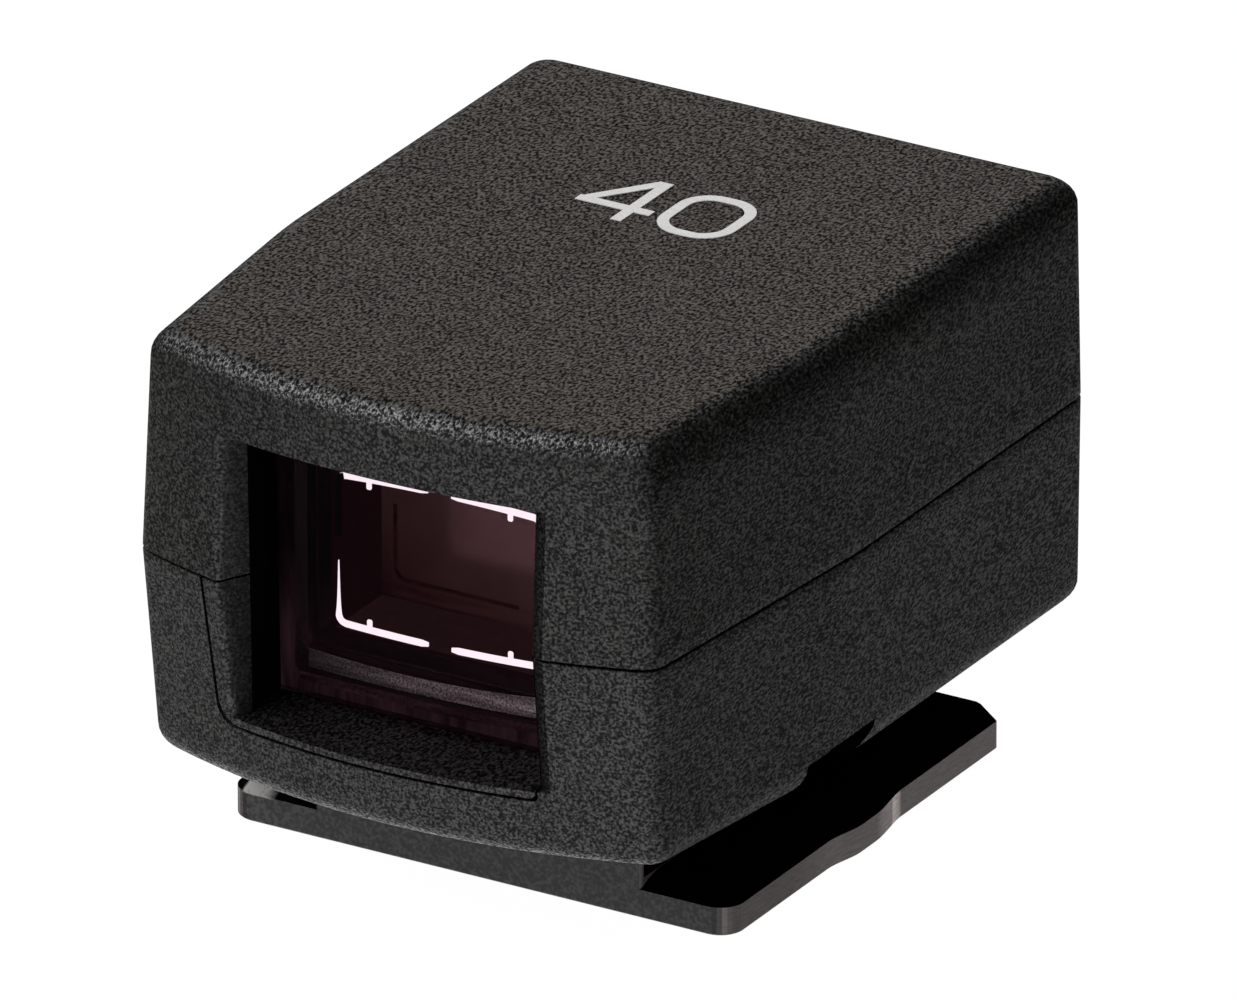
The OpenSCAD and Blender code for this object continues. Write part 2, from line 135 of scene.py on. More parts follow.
def housing_ring(z, inset, corner=CORNER_ROUND):
    """Housing outline at height z, inset by a distance, from the rear centre by the right side."""
    half, y_bend = front_half_width(z), bend_y(z)
    radius, arc_y = rear_arc(z)
    # rear part of the side: its direction to the rear, and its outward normal
    run_x, run_y = rear_half_width(z) - half, rear_y(z) - y_bend
    length = math.hypot(run_x, run_y)
    along_x, along_y = run_x / length, run_y / length
    out_x, out_y = -along_y, along_x
    side_angle = math.atan2(out_y, out_x)
    # rear corner: its centre lies equally deep inside the arc and the side
    depth = inset + corner
    x, y = half - out_x * depth, y_bend - out_y * depth
    travel = distance_to_circle(x, y - arc_y, along_x, along_y, radius - depth)
    x, y = x + along_x * travel, y + along_y * travel
    corner_angle = math.atan2(y - arc_y, x)
    points = sweep(0.0, arc_y, radius - inset, -math.pi / 2, corner_angle, 26)[:-1]
    points += sweep(x, y, corner, corner_angle, side_angle, 8)
    # bend between the two side planes
    depth = inset + BEND_ROUND
    x = half - depth
    y = y_bend + (-depth - out_x * (x - half)) / out_y
    points += straight(points[-1], (x + BEND_ROUND * out_x, y + BEND_ROUND * out_y), 16)
    points += sweep(x, y, BEND_ROUND, side_angle, 0.0, 8)
    # front corner and front face
    y = FRONT_Y - inset - corner
    points += straight(points[-1], (half - inset, y), 18)
    points += sweep(half - inset - corner, y, corner, 0.0, math.pi / 2, 8)
    centre = (0.0, points[-1][1])
    points += straight(points[-1], centre, 14) + [centre]
    return mirrored(points)


# ------------------------------------------------------------------ mesh tools
def new_object(name, verts, faces):
    mesh = bpy.data.meshes.new(name)
    mesh.from_pydata([(x * MM, y * MM, z * MM) for x, y, z in verts], [], faces)
    mesh.validate()
    bm = bmesh.new()
    bm.from_mesh(mesh)
    bmesh.ops.recalc_face_normals(bm, faces=bm.faces)
    bm.to_mesh(mesh)
    bm.free()
    obj = bpy.data.objects.new(name, mesh)
    bpy.context.scene.collection.objects.link(obj)
    return obj


def rings_solid(name, rings):
    """Closed solid from stacked rings of equal length: a list of (z, [(x, y)])."""
    count = len(rings[0][1])
    verts = [(x, y, z) for z, ring in rings for x, y in ring]
    faces = []
    for k in range(len(rings) - 1):
        for i in range(count):
            j = (i + 1) % count
            faces.append((k * count + i, k * count + j, (k + 1) * count + j, (k + 1) * count + i))
    faces.append(tuple(range(count))[::-1])
    faces.append(tuple((len(rings) - 1) * count + i for i in range(count)))
    return new_object(name, verts, faces)


def housing_form(name, inset, z_low=None, z_high=None, low_bevel=0.0, high_bevel=0.0):
    """The housing's form, inset from its skin, cut flat at z_low or z_high if given."""
    edge = max(0.3, EDGE_ROUND - inset * 0.6)
    edge_angles = [0, 12, 24, 36, 48, 60, 72, 82, 90]
    corner_loss = 0.3                       # corners tighten round the edge
    steps = 14
    rings = []

    def add(z, ring_inset, corner=CORNER_ROUND):
        rings.append((z, housing_ring(z, ring_inset, corner)))

    def add_edge(z_face, inward, angles):
        for degrees in angles:
            angle = math.radians(degrees)
            rise = 1 - math.cos(math.radians(90 - degrees))
            add(z_face + inward * edge * rise, inset + edge * (1 - math.cos(angle)),
                CORNER_ROUND - corner_loss * math.sin(angle))

    if z_low is None:
        add_edge(BODY_BOTTOM + inset, 1, reversed(edge_angles))
        z_start = BODY_BOTTOM + inset + edge
    elif low_bevel:
        add(z_low, inset + low_bevel)
        add(z_low + low_bevel * 0.3, inset + low_bevel * 0.3)
        z_start = z_low + low_bevel
        add(z_start, inset)
    else:
        add(z_low, inset)
        z_start = z_low
    z_end = BODY_TOP - inset - edge if z_high is None else z_high - high_bevel
    for i in range(1, steps):
        add(lerp(z_start, z_end, i / steps), inset)
    if z_high is None:
        add_edge(BODY_TOP - inset, -1, edge_angles)
    else:
        add(z_end, inset)
        if high_bevel:
            add(z_high - high_bevel * 0.3, inset + high_bevel * 0.3)
            add(z_high, inset + high_bevel)
    return rings_solid(name, rings)


def box(name, x, y, z):
    """Box from its (low, high) spans."""
    verts = [(i, j, k) for k in z for j in y for i in x]
    faces = [(0, 2, 3, 1), (4, 5, 7, 6), (0, 1, 5, 4), (2, 6, 7, 3), (0, 4, 6, 2), (1, 3, 7, 5)]
    return new_object(name, verts, faces)


def prism(name, outline, low, high, axis):
    """Extrudes an outline along an axis: 'z' takes (x, y), 'y' takes (x, z), 'x' takes (y, z)."""
    def at(p, t):
        return {"z": (p[0], p[1], t), "y": (p[0], t, p[1]), "x": (t, p[0], p[1])}[axis]
    count = len(outline)
    verts = [at(p, low) for p in outline] + [at(p, high) for p in outline]
    faces = [(i, (i + 1) % count, count + (i + 1) % count, count + i) for i in range(count)]
    faces += [tuple(range(count))[::-1], tuple(range(count, 2 * count))]
    return new_object(name, verts, faces)


def boolean(obj, other, operation="DIFFERENCE"):
    """Combines obj with other, applies the result and removes other."""
    modifier = obj.modifiers.new("boolean", "BOOLEAN")
    modifier.object = other
    modifier.operation = operation
    modifier.solver = "EXACT"
    graph = bpy.context.evaluated_depsgraph_get()
    mesh = bpy.data.meshes.new_from_object(obj.evaluated_get(graph))
    obj.modifiers.clear()
    old = obj.data
    obj.data = mesh
    bpy.data.meshes.remove(old)
    bpy.data.objects.remove(other, do_unlink=True)
    return obj


def smooth(obj, angle=32.0):
    """Smooth shading, with edges sharper than the angle (degrees) kept crisp."""
    for face in obj.data.polygons:
        face.use_smooth = True
    obj.data.set_sharp_from_angle(angle=math.radians(angle))
    modifier = obj.modifiers.new("wn", "WEIGHTED_NORMAL")
    modifier.keep_sharp = True
    modifier.weight = 80


def paint(obj, material):
    obj.data.materials.clear()
    obj.data.materials.append(material)


def paint_faces(obj, material, test):
    """Adds a material for the faces whose centre (mm) and normal meet the test."""
    obj.data.materials.append(material)
    index = len(obj.data.materials) - 1
    for face in obj.data.polygons:
        if test(face.center / MM, face.normal):
            face.material_index = index


def within(point, x=(-math.inf, math.inf), y=(-math.inf, math.inf), z=(-math.inf, math.inf)):
    return all(low < v < high for v, (low, high) in zip(point, (x, y, z)))


def register(obj, replaces=None):
    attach(obj, "root")
    if replaces:
        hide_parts(replaces)


# ------------------------------------------------------------------ node wiring
PRINCIPLED_SOCKETS = {
    "color": "Base Color", "rough": "Roughness", "normal": "Normal", "metallic": "Metallic",
    "specular": "Specular IOR Level", "tint": "Specular Tint",
}


def rgba(color):
    """Opaque colour from (r, g, b), or from one number for a grey."""
    return (*color, 1) if isinstance(color, tuple) else (color, color, color, 1)


def scaled(color, factor):
    return tuple(c * factor for c in color)


class Net:
    """Builds the nodes of one tree. Any input takes a value or another node's output."""

    def __init__(self, tree):
        self.tree = tree
        tree.nodes.clear()

    def node(self, kind, inputs=(), **settings):
        node = self.tree.nodes.new(kind)
        for name, value in settings.items():
            setattr(node, name, value)
        for key, value in dict(inputs).items():
            if isinstance(value, bpy.types.NodeSocket):
                self.tree.links.new(value, node.inputs[key])
            else:
                node.inputs[key].default_value = value
        return node

    def value(self, kind, inputs=(), **settings):
        """The first output of a new node."""
        return self.node(kind, inputs, **settings).outputs[0]

    def stretch(self, vector, scale, **others):
        return self.value("ShaderNodeMapping", {"Vector": vector, "Scale": scale, **others})

    def coords(self, scale=1 / MM):
        """Object coordinates, in millimetres unless scaled otherwise."""
        place = self.node("ShaderNodeTexCoord").outputs["Object"]
        return self.stretch(place, (scale, scale, scale))

    def split(self, vector):
        return self.node("ShaderNodeSeparateXYZ", {0: vector}).outputs

    def geometry(self):
        """Outputs of the geometry node, and the face normal's components."""
        outputs = self.node("ShaderNodeNewGeometry").outputs
        return outputs, self.split(outputs["True Normal"])

    def noise(self, vector, scale, detail=2.0, rough=0.5, distortion=0.0):
        return self.value("ShaderNodeTexNoise", {
            "Vector": vector, "Scale": scale, "Detail": detail, "Roughness": rough,
            "Distortion": distortion})

    def ramp(self, factor, stops):
        """Colour ramp; stops are (position, colour)."""
        node = self.node("ShaderNodeValToRGB", {"Fac": factor})
        elements = node.color_ramp.elements
        while len(elements) > 1:
            elements.remove(elements[-1])
        elements[0].position, elements[0].color = stops[0][0], rgba(stops[0][1])
        for position, color in stops[1:]:
            elements.new(position).color = rgba(color)
        return node.outputs["Color"]

    def mottle(self, noise, dark, light):
        """Colour between dark and light over the usual span of a noise."""
        return self.ramp(noise, [(0.3, dark), (0.7, light)])

    def remap(self, value, over, to=(0.0, 1.0), curve="LINEAR"):
        return self.value("ShaderNodeMapRange", {
            "Value": value, "From Min": over[0], "From Max": over[1],
            "To Min": to[0], "To Max": to[1]}, interpolation_type=curve)

    def vary(self, noise, low, high):
        """Value from low to high over the usual span of a noise."""
        return self.remap(noise, over=(0.3, 0.7), to=(low, high))

    def math(self, operation, *terms, clamp=False):
        return self.value("ShaderNodeMath", dict(enumerate(terms)), operation=operation,
                          use_clamp=clamp)

    def plus(self, a, b, clamp=False):
        return self.math("ADD", a, b, clamp=clamp)

    def times(self, a, b, clamp=False):
        return self.math("MULTIPLY", a, b, clamp=clamp)

    def rest(self, value):
        """What is left of one."""
        return self.math("SUBTRACT", 1.0, value)

    def size(self, value):
        return self.math("ABSOLUTE", value)

    def above(self, value, limit):
        return self.math("GREATER_THAN", value, limit)

    def mix(self, factor, first, second, **settings):
        return self.value("ShaderNodeMixRGB", {"Fac": factor, "Color1": first, "Color2": second},
                          **settings)

    def brightness(self, color):
        return self.value("ShaderNodeRGBToBW", {0: color})

    def bump(self, height, strength, depth):
        """Relief; depth is in millimetres."""
        return self.value("ShaderNodeBump", {
            "Height": height, "Strength": strength, "Distance": depth * MM})

    def principled(self, **looks):
        inputs = {PRINCIPLED_SOCKETS[name]: value for name, value in looks.items()}
        return self.value("ShaderNodeBsdfPrincipled", inputs)

    def glossy(self, **looks):
        inputs = {name.title(): value for name, value in looks.items()}
        return self.value("ShaderNodeBsdfAnisotropic", inputs)

    def clear(self, color):
        return self.value("ShaderNodeBsdfTransparent", {"Color": color})

    def emission(self, color, strength):
        return self.value("ShaderNodeEmission", {"Color": color, "Strength": strength})

    def add_shaders(self, first, second):
        return self.value("ShaderNodeAddShader", {0: first, 1: second})

    def mix_shaders(self, factor, first, second):
        return self.value("ShaderNodeMixShader", {0: factor, 1: first, 2: second})

    def output(self, shader, kind="ShaderNodeOutputMaterial"):
        self.node(kind, {"Surface": shader})


def new_material(name):
    material = bpy.data.materials.new(name)
    material.use_nodes = True
    return material, Net(material.node_tree)


# ------------------------------------------------------------------ material kinds
def grained(name, base, pit=0.35, tip=2.3, warm=(1.0, 1.0, 1.0), sheen=1.0, upright=1.0,
            side=1.0, shoulder=None):
    """Spark-grained, semi-matt plastic: fine speckle in colour, sheen and relief.

    pit and tip scale the colour across the grain; sheen scales the reflection, upright does so
    on upright faces and side on side faces. warm is a painted warm reflection on upward faces.
    shoulder: (z span, loss) paints shade into the sheen of the high shoulders.
    """
    material, net = new_material(name)
    place = net.coords()
    drawn = net.stretch(place, (1.0, 0.62, 1.0))
    fine = net.noise(drawn, scale=10.4, detail=1.0, rough=0.35)
    finer = net.noise(drawn, scale=17.0, detail=0.0)
    grain = net.plus(net.times(fine, 0.72), net.times(finer, 0.28))
    broad = net.noise(place, scale=0.16, detail=3.0)
    patch = net.noise(place, scale=0.9, detail=3.0, rough=0.55)
    speckle = net.ramp(grain, [(0.36, scaled(base, pit)), (0.50, base), (0.62, scaled(base, tip)),
                               (0.72, scaled(base, tip * 1.7))])
    drift = net.ramp(broad, [(0.35, (0.90, 0.91, 0.93)), (0.65, (1.08, 1.06, 1.02))])
    color = net.mix(1.0, speckle, drift, blend_type="MULTIPLY")
    normal = net.geometry()[1]
    # sheen: strong on the tips of the grain, weak in its pits, more even on upright faces
    strong = net.ramp(grain, [(0.40, 0.02), (0.50, 0.30), (0.58, 0.92)])
    soft = net.ramp(grain, [(0.40, 0.16), (0.50, 0.40), (0.60, 0.78)])
    on_upright = net.remap(net.size(normal["Z"]), over=(0.4, 0.85), to=(1.0, 0.0))
    base_specular = 0.62
    specular = net.times(net.brightness(net.mix(on_upright, strong, soft)), base_specular * sheen)
    specular = net.times(specular, net.remap(normal["Z"], over=(0.3, 0.9), to=(upright, 1.0)))
    specular = net.times(
        specular, net.remap(net.size(normal["X"]), over=(0.6, 0.95), to=(1.0, side)))
    if shoulder:
        span, loss = shoulder
        # painted shade in the sheen: the left half of the bowed rear face turns away from the light
        turned = net.times(net.remap(normal["X"], over=(-0.20, -0.04), to=(1.0, 0.0)),
                           net.remap(normal["Y"], over=(-0.95, -0.80), to=(1.0, 0.0)))
        specular = net.times(specular, net.rest(net.times(turned, 0.34)))
        # painted shade in the sheen of the high shoulders along the top side edges
        high = net.remap(net.split(place)["Z"], over=span)
        high = net.times(high, net.remap(net.size(normal["X"]), over=(0.30, 0.60)))
        specular = net.times(specular, net.rest(net.times(high, loss)))
    # painted warm reflection: upward faces get a warmer reflection tint than the upright ones
    upward = net.remap(normal["Z"], over=(0.93, 0.995))
    net.output(net.principled(
        color=color,
        rough=net.plus(net.remap(grain, over=(0.35, 0.68), to=(0.56, 0.34)),
                       net.remap(patch, over=(0.35, 0.7), to=(0.03, -0.05))),
        specular=specular,
        tint=net.mix(upward, rgba((0.98, 0.98, 1.0)), rgba(warm)),
        normal=net.bump(grain, strength=0.85, depth=0.05)))
    return material


def plain(name, base, rough, bump, scale, specular=0.5):
    """Evenly mottled plastic, foam or flock."""
    material, net = new_material(name)
    place = net.coords()
    mottling = net.noise(place, scale=scale, detail=4.0, rough=0.6)
    fine = net.noise(place, scale=scale * 9)
    net.output(net.principled(
        color=net.mottle(mottling, scaled(base, 0.8), scaled(base, 1.2)),
        rough=net.vary(mottling, rough * 0.85, rough * 1.2),
        specular=specular,
        normal=net.bump(fine, strength=bump, depth=0.03)))
    return material


def metal(name, base, rough, metallic):
    """Metal with fine brushing across Y."""
    material, net = new_material(name)
    place = net.coords()
    mottling = net.noise(place, scale=1.2, detail=5.0, rough=0.6)
    brushing = net.noise(net.stretch(place, (1.0, 14.0, 1.0)), scale=4.0, detail=3.0, rough=0.6)
    net.output(net.principled(
        color=net.mottle(mottling, scaled(base, 0.75), base),
        metallic=metallic,
        rough=net.vary(brushing, rough * 0.8, rough * 1.3),
        normal=net.bump(brushing, strength=0.15, depth=0.02)))
    return material


def coated_glass(name, tint, reflection, reflect, rough, edge):
    """Thin coated glass: a tinted view through it, and a coloured reflection on its outer side.

    reflect is the reflection's share face on; edge is what is added at grazing angles.
    """
    material, net = new_material(name)
    place = net.coords()
    smear = net.noise(place, scale=0.35, detail=4.0, rough=0.55, distortion=0.6)
    view = net.clear(net.mottle(smear, scaled(tint, 0.95), tint))
    ripple = net.noise(place, scale=1.4, detail=3.0)
    gloss = net.glossy(color=rgba(reflection), roughness=net.vary(smear, rough, rough * 2.5),
                       normal=net.bump(ripple, strength=0.03, depth=0.01))
    facing = net.node("ShaderNodeLayerWeight", {"Blend": 0.35}).outputs["Facing"]
    front = net.rest(net.node("ShaderNodeNewGeometry").outputs["Backfacing"])
    share = net.plus(net.times(net.math("POWER", facing, 3.0), edge), reflect, clamp=True)
    net.output(net.mix_shaders(net.times(share, front), view, gloss))
    return material


def line_print(name, strength):
    """Frame lines with painted light: an emission stands for the light through their slots; the
    print itself is dark.
    """
    material, net = new_material(name)
    mottling = net.noise(net.coords(), scale=3.0, detail=3.0, rough=0.6)
    light = net.emission(net.mottle(mottling, (0.97, 0.95, 0.95), 1.0), strength)
    surface = net.principled(color=(0.0010, 0.0005, 0.0007, 1), rough=0.6, specular=0.05,
                             normal=net.bump(mottling, strength=0.05, depth=0.01))
    net.output(net.add_shaders(light, surface))
    return material


def printed_ink(name, base, lift):
    """Pad-printed ink: slightly mottled, with a painted lift: an emission (lift) makes it a little
    brighter than the light on it.
    """
    material, net = new_material(name)
    place = net.coords()
    fine = net.noise(place, scale=7.0)
    broad = net.noise(place, scale=0.9, detail=3.0)
    surface = net.principled(color=net.mottle(fine, scaled(base, 0.92), base),
                             rough=net.vary(broad, 0.5, 0.65),
                             normal=net.bump(fine, strength=0.25, depth=0.02))
    light = net.emission(rgba(base), net.vary(fine, lift * 0.7, lift * 1.3))
    net.output(net.add_shaders(light, surface))
    return material


GLOW_STRENGTH = 1.0                         # painted glow of all the mouldings inside the finder
STREAKS = {"Z": (2.6, 2.6, 0.35), "X": (0.35, 3.4, 3.4)}    # noise stretch by streak axis


def glowing(name, base, glow, streaks="Z", rough=0.5, grain=0.0, fade=None, across=None,
            deep=None, speck=9.0):
    """Dark moulding inside the finder, with painted light: an emission stands in for the little
    coloured light it picks up.

    fade and across scale the glow along Z and X: (span, (from, to)).
    deep: glow colours of the (upright, level) faces ahead of the mask.
    """
    material, net = new_material(name)
    place = net.coords()
    streak = net.noise(net.stretch(place, STREAKS[streaks]), scale=1.0, detail=3.0, rough=0.6)
    fine = net.noise(place, scale=speck, detail=1.0, rough=0.4)
    strength = net.remap(streak, over=(0.35, 0.65), to=(0.45, 1.5))
    if grain:
        strength = net.times(
            strength, net.remap(fine, over=(0.36, 0.64), to=(1.0 - grain, 1.0 + grain)))
    axes = net.split(place)

    def ahead():
        return net.remap(axes["Y"], over=(-11.05, -10.95))

    if deep:
        even = net.times(ahead(), 0.7)
        strength = net.plus(net.times(strength, net.rest(even)), even)
    if fade:
        fading = net.remap(axes["Z"], *fade)
        if deep:
            fading = net.math("MAXIMUM", fading, ahead())
        strength = net.times(strength, fading)
    if across:
        strength = net.times(strength, net.remap(axes["X"], *across))
    color = rgba(glow)
    if deep:
        normal = net.geometry()[1]
        level = net.remap(net.size(normal["Z"]), over=(0.4, 0.8))
        color = net.mix(ahead(), color, net.mix(level, rgba(deep[0]), rgba(deep[1])))
    light = net.emission(color, net.times(strength, GLOW_STRENGTH))
    surface = net.principled(color=net.mottle(streak, scaled(base, 0.7), scaled(base, 1.2)),
                             rough=net.vary(streak, rough * 0.85, rough * 1.15),
                             specular=0.06,
                             normal=net.bump(fine, strength=0.2, depth=0.03))
    net.output(net.add_shaders(light, surface))
    return material


def half_mirror(name):
    """Half-silvered plate with a painted reflection: an emitted warm brown sheen, brightest at the
    upper right, streaked below.
    """
    material, net = new_material(name)
    place = net.coords()
    axes = net.split(place)
    streak = net.noise(net.stretch(place, (0.25, 1.0, 2.8), Rotation=(0.0, 0.10, 0.0)),
                       scale=1.0, detail=3.0, rough=0.6)
    soft = net.noise(place, scale=0.5)
    rightward = net.remap(axes["X"], over=(-4.6, 1.6))
    upward = net.remap(axes["Z"], over=(7.9, 11.9))
    sheen = net.plus(net.times(rightward, 0.55), net.times(upward, 0.45))
    sheen = net.plus(sheen, net.vary(soft, -0.06, 0.06))
    low = net.remap(axes["Z"], over=(9.1, 8.3))
    streak = net.remap(streak, over=(0.35, 0.65), to=(-0.30, 0.12))
    sheen = net.plus(sheen, net.times(streak, low), clamp=True)
    color = net.ramp(sheen, [(0.0, (0.0055, 0.0022, 0.0026)), (0.35, (0.0145, 0.0074, 0.0068)),
                             (0.65, (0.0225, 0.0132, 0.0124)), (1.0, (0.0265, 0.0190, 0.0186))])
    glow = net.add_shaders(net.emission(color, strength=1.45), net.clear((0.42, 0.30, 0.29, 1)))
    gloss = net.glossy(color=(0.5, 0.35, 0.33, 1), roughness=0.15)
    geometry, normal = net.geometry()
    gloss_share = net.times(net.rest(geometry["Backfacing"]), 0.08)
    eye_surface = net.mix_shaders(gloss_share, glow, gloss)
    # only the plate's eye side carries the painted sheen
    eye_side = net.times(net.math("LESS_THAN", normal["Y"], -0.5),
                         net.rest(geometry["Backfacing"]))
    net.output(net.mix_shaders(eye_side, net.clear((0.85, 0.80, 0.80, 1)), eye_surface))
    return material


def foot_plastic(name, grain):
    """The foot: grained rear face, near-black top in painted shade, satin sides, one corner with a
    painted highlight.
    """
    material, net = new_material(name)
    place = net.coords()
    axes = net.split(place)
    normal = net.geometry()[1]
    fine = net.noise(place, scale=8.2, detail=1.0, rough=0.35)
    soft = net.noise(place, scale=0.8, detail=3.0)
    sawn = net.noise(net.stretch(place, (1.0, 1.0, 9.0)), scale=2.0, detail=3.0, rough=0.6)
    rear = net.ramp(fine, [(0.36, scaled(grain, 0.6)), (0.5, grain), (0.66, scaled(grain, 1.9))])
    side = net.mottle(sawn, (0.066, 0.057, 0.056), (0.108, 0.094, 0.092))
    # painted shade: near-black for the top and the faces under the body
    top = net.mottle(soft, (0.0008, 0.0006, 0.0006), (0.0022, 0.0016, 0.0016))
    is_side = net.above(net.size(normal["X"]), 0.45)
    is_top = net.above(normal["Z"], 0.4)
    color = net.mix(is_side, rear, side)
    # painted light: bands of light around the rounded corners, a brighter flank ahead of the bump
    sideways = net.size(normal["X"])
    band = net.ramp(sideways, [(0.06, 0.5), (0.28, 0.20), (0.44, 0.20), (0.58, 0.26),
                               (0.66, 0.80), (0.80, 0.34), (0.95, 0.42), (0.995, 0.5)])
    band = net.times(net.brightness(band), 2.0)
    forward = net.times(normal["Y"], net.above(sideways, 0.85))
    band = net.times(band, net.remap(forward, over=(0.05, 0.22), to=(1.0, 2.8)))
    lit = net.times(net.remap(axes["Y"], over=(0.85, 1.0), to=(0.0, 2.1)),
                    net.remap(axes["Y"], over=(1.5, 1.6), to=(1.0, 0.0)))
    lit = net.plus(lit, net.remap(axes["Y"], over=(-5.0, -3.0), to=(0.0, 0.5)))
    band = net.times(band, net.plus(net.times(is_side, lit), 1.0))
    color = net.mix(1.0, color, band, blend_type="MULTIPLY")
    # painted shade: the top, the neck's flanks and everything under the body go near-black with no
    # reflection
    neck = net.times(net.above(axes["Z"], 1.32), net.above(axes["Y"], -8.80))
    black = net.math("MAXIMUM", is_top, neck)
    color = net.mix(black, color, top)
    # painted highlight: a pale patch on the rear left edge of the top, catching the bright surround
    painted_highlight = net.times(net.remap(axes["X"], over=(-8.62, -8.52)),
                       net.remap(axes["X"], over=(-7.75, -7.35), to=(1.0, 0.0)))
    painted_highlight = net.times(painted_highlight, net.remap(axes["Z"], over=(0.90, 0.96)))
    painted_highlight = net.times(painted_highlight, net.remap(axes["Y"], over=(-8.35, -8.50)))
    painted_highlight = net.times(painted_highlight, net.remap(fine, over=(0.34, 0.46), to=(0.75, 1.0)), clamp=True)
    net.output(net.principled(
        color=net.mix(painted_highlight, color, (0.235, 0.224, 0.224, 1)),
        rough=net.plus(net.vary(soft, 0.34, 0.46), net.times(black, -0.12)),
        specular=net.math("SUBTRACT", 0.24, net.times(black, 0.24)),
        normal=net.bump(fine, strength=0.35, depth=0.04)))
    return material


# ------------------------------------------------------------------ materials
COVER_BASE = (0.0080, 0.0078, 0.0075)
# painted warm reflection: the tint given to the reflection on upward faces
COVER_TOP_REFLECTION_TINT = (1.0, 0.62, 0.34)
COVER = grained("cover_grain", COVER_BASE, warm=COVER_TOP_REFLECTION_TINT, upright=0.95)
UPPER_COVER = grained("upper_grain", COVER_BASE, warm=COVER_TOP_REFLECTION_TINT, upright=0.82, side=0.84,
                      shoulder=((16.0, 17.3), 0.78))
HOOD = grained("hood_grain", (0.0080, 0.0078, 0.0077), pit=0.4, tip=2.0)
# painted light: the cheeks are the housing's plastic with a lighter base, where the recess walls
# catch light
LIT_CHEEK = grained("cheek_lit_grain", (0.0235, 0.0232, 0.0230), pit=0.55, tip=1.45, sheen=0.8)
LIT_LOWER_CHEEK = grained("cheek_low_lit_grain", (0.0150, 0.0148, 0.0146), pit=0.55, tip=1.45, sheen=0.62)
# painted shade: the recess's right lip, the same plastic darkened where it turns from the light
SHADED_LIP = grained("lip_shaded_grain", (0.0026, 0.0025, 0.0025), sheen=0.25)
# painted shade: the recess floor, the same plastic darkened under the recess roof
SHADED_HOOD_FLOOR = grained("hood_floor_shaded_grain", (0.0040, 0.0036, 0.0037), pit=0.25, tip=2.8, sheen=0.38)
# painted shade: near-black for the recess walls and the side notches
RECESS_SHADE = plain("recess_shade_black", (0.0006, 0.0006, 0.0006), rough=0.8, bump=0.3, scale=3.0,
               specular=0.02)
# painted light: near-black tunnel moulding with an emitted maroon glow, strongest low down, other
# colours ahead of the mask
CHASSIS_GLOW = glowing("chassis_black_glow", (0.0012, 0.0005, 0.0008), glow=(0.0140, 0.0074, 0.0092),
                  rough=0.55, fade=((7.4, 11.2), (1.0, 0.17)),
                  deep=((0.0070, 0.0028, 0.0038), (0.0150, 0.0078, 0.0078)))
# painted light: lit and shaded copies of the mask moulding, differing in their emitted glow
LIT_MASK = glowing("mask_maroon_lit", (0.0012, 0.0006, 0.0008), glow=(0.0064, 0.0036, 0.0042),
               grain=0.35, fade=((7.4, 10.8), (1.0, 0.40)))
SHADED_MASK = glowing("mask_shaded", (0.0008, 0.0004, 0.0005), glow=(0.0080, 0.0046, 0.0056),
                    rough=0.6, grain=0.2, fade=((7.5, 10.2), (1.0, 0.10)))
# painted highlight: an emitted thin light line along the eye lens's edge
LENS_EDGE_HIGHLIGHT = glowing("lens_edge_highlight", (0.0012, 0.0006, 0.0008), glow=(0.0150, 0.0110, 0.0120),
                    grain=0.2, fade=((8.0, 11.0), (1.0, 0.12)))
# painted light: lit, shaded and maroon-glowing copies of the ledge below the frame
LIT_SILL = glowing("mask_sill", (0.004, 0.0036, 0.0037), glow=(0.086, 0.075, 0.076), streaks="X",
               rough=0.6, grain=0.62, speck=14.0, fade=((7.1, 7.8), (0.55, 1.1)),
               across=((-4.6, 1.2), (0.22, 1.1)))
SHADED_SILL = glowing("mask_sill_shaded", (0.0010, 0.0004, 0.0006), glow=(0.0034, 0.0016, 0.0022),
                    streaks="X", rough=0.6, grain=0.3)
SILL_MAROON_GLOW = glowing("mask_sill_maroon_glow", (0.0012, 0.0006, 0.0008),
                      glow=(0.0120, 0.0056, 0.0070), streaks="X", rough=0.6, grain=0.3)
# painted reflection: the faint second image of the frame lines, an emitted glow
GHOST_REFLECTION = glowing("ghost_reflection_line", (0.0012, 0.0005, 0.0006), glow=(0.0110, 0.0044, 0.0044),
                streaks="X", rough=0.6, grain=0.2)
FOOT = foot_plastic("foot_moulding", grain=(0.0185, 0.0179, 0.0179))
BEZEL = plain("bezel_satin", (0.012, 0.012, 0.012), rough=0.32, bump=0.06, scale=1.6)
# painted light: the frame lines glow; the shaded copy for the upright in the housing's shade barely
# glows
LIT_LINES = line_print("frame_print", strength=1.25)
LINES_SHADED = line_print("frame_print_shade", strength=0.0008)
NUMERALS = printed_ink("numeral_print", (0.42, 0.417, 0.41), lift=0.14)
SEAL = plain("foam_seal", (0.012, 0.012, 0.012), rough=0.9, bump=0.6, scale=4.0, specular=0.2)
FLOCK = plain("flock", (0.004, 0.004, 0.004), rough=1.0, bump=1.0, scale=6.0, specular=0.1)
BLACK_SHEET = metal("black_sheet", (0.03, 0.03, 0.03), rough=0.45, metallic=0.6)
BLACK_OXIDE = metal("black_oxide", (0.09, 0.09, 0.095), rough=0.3, metallic=0.9)
STEEL = metal("plain_steel", (0.55, 0.56, 0.58), rough=0.3, metallic=1.0)
EYE_LENS = coated_glass("eye_coating", tint=(0.93, 0.86, 0.90), reflection=(0.75, 0.35, 0.50),
                        reflect=0.0005, rough=0.05, edge=0.012)
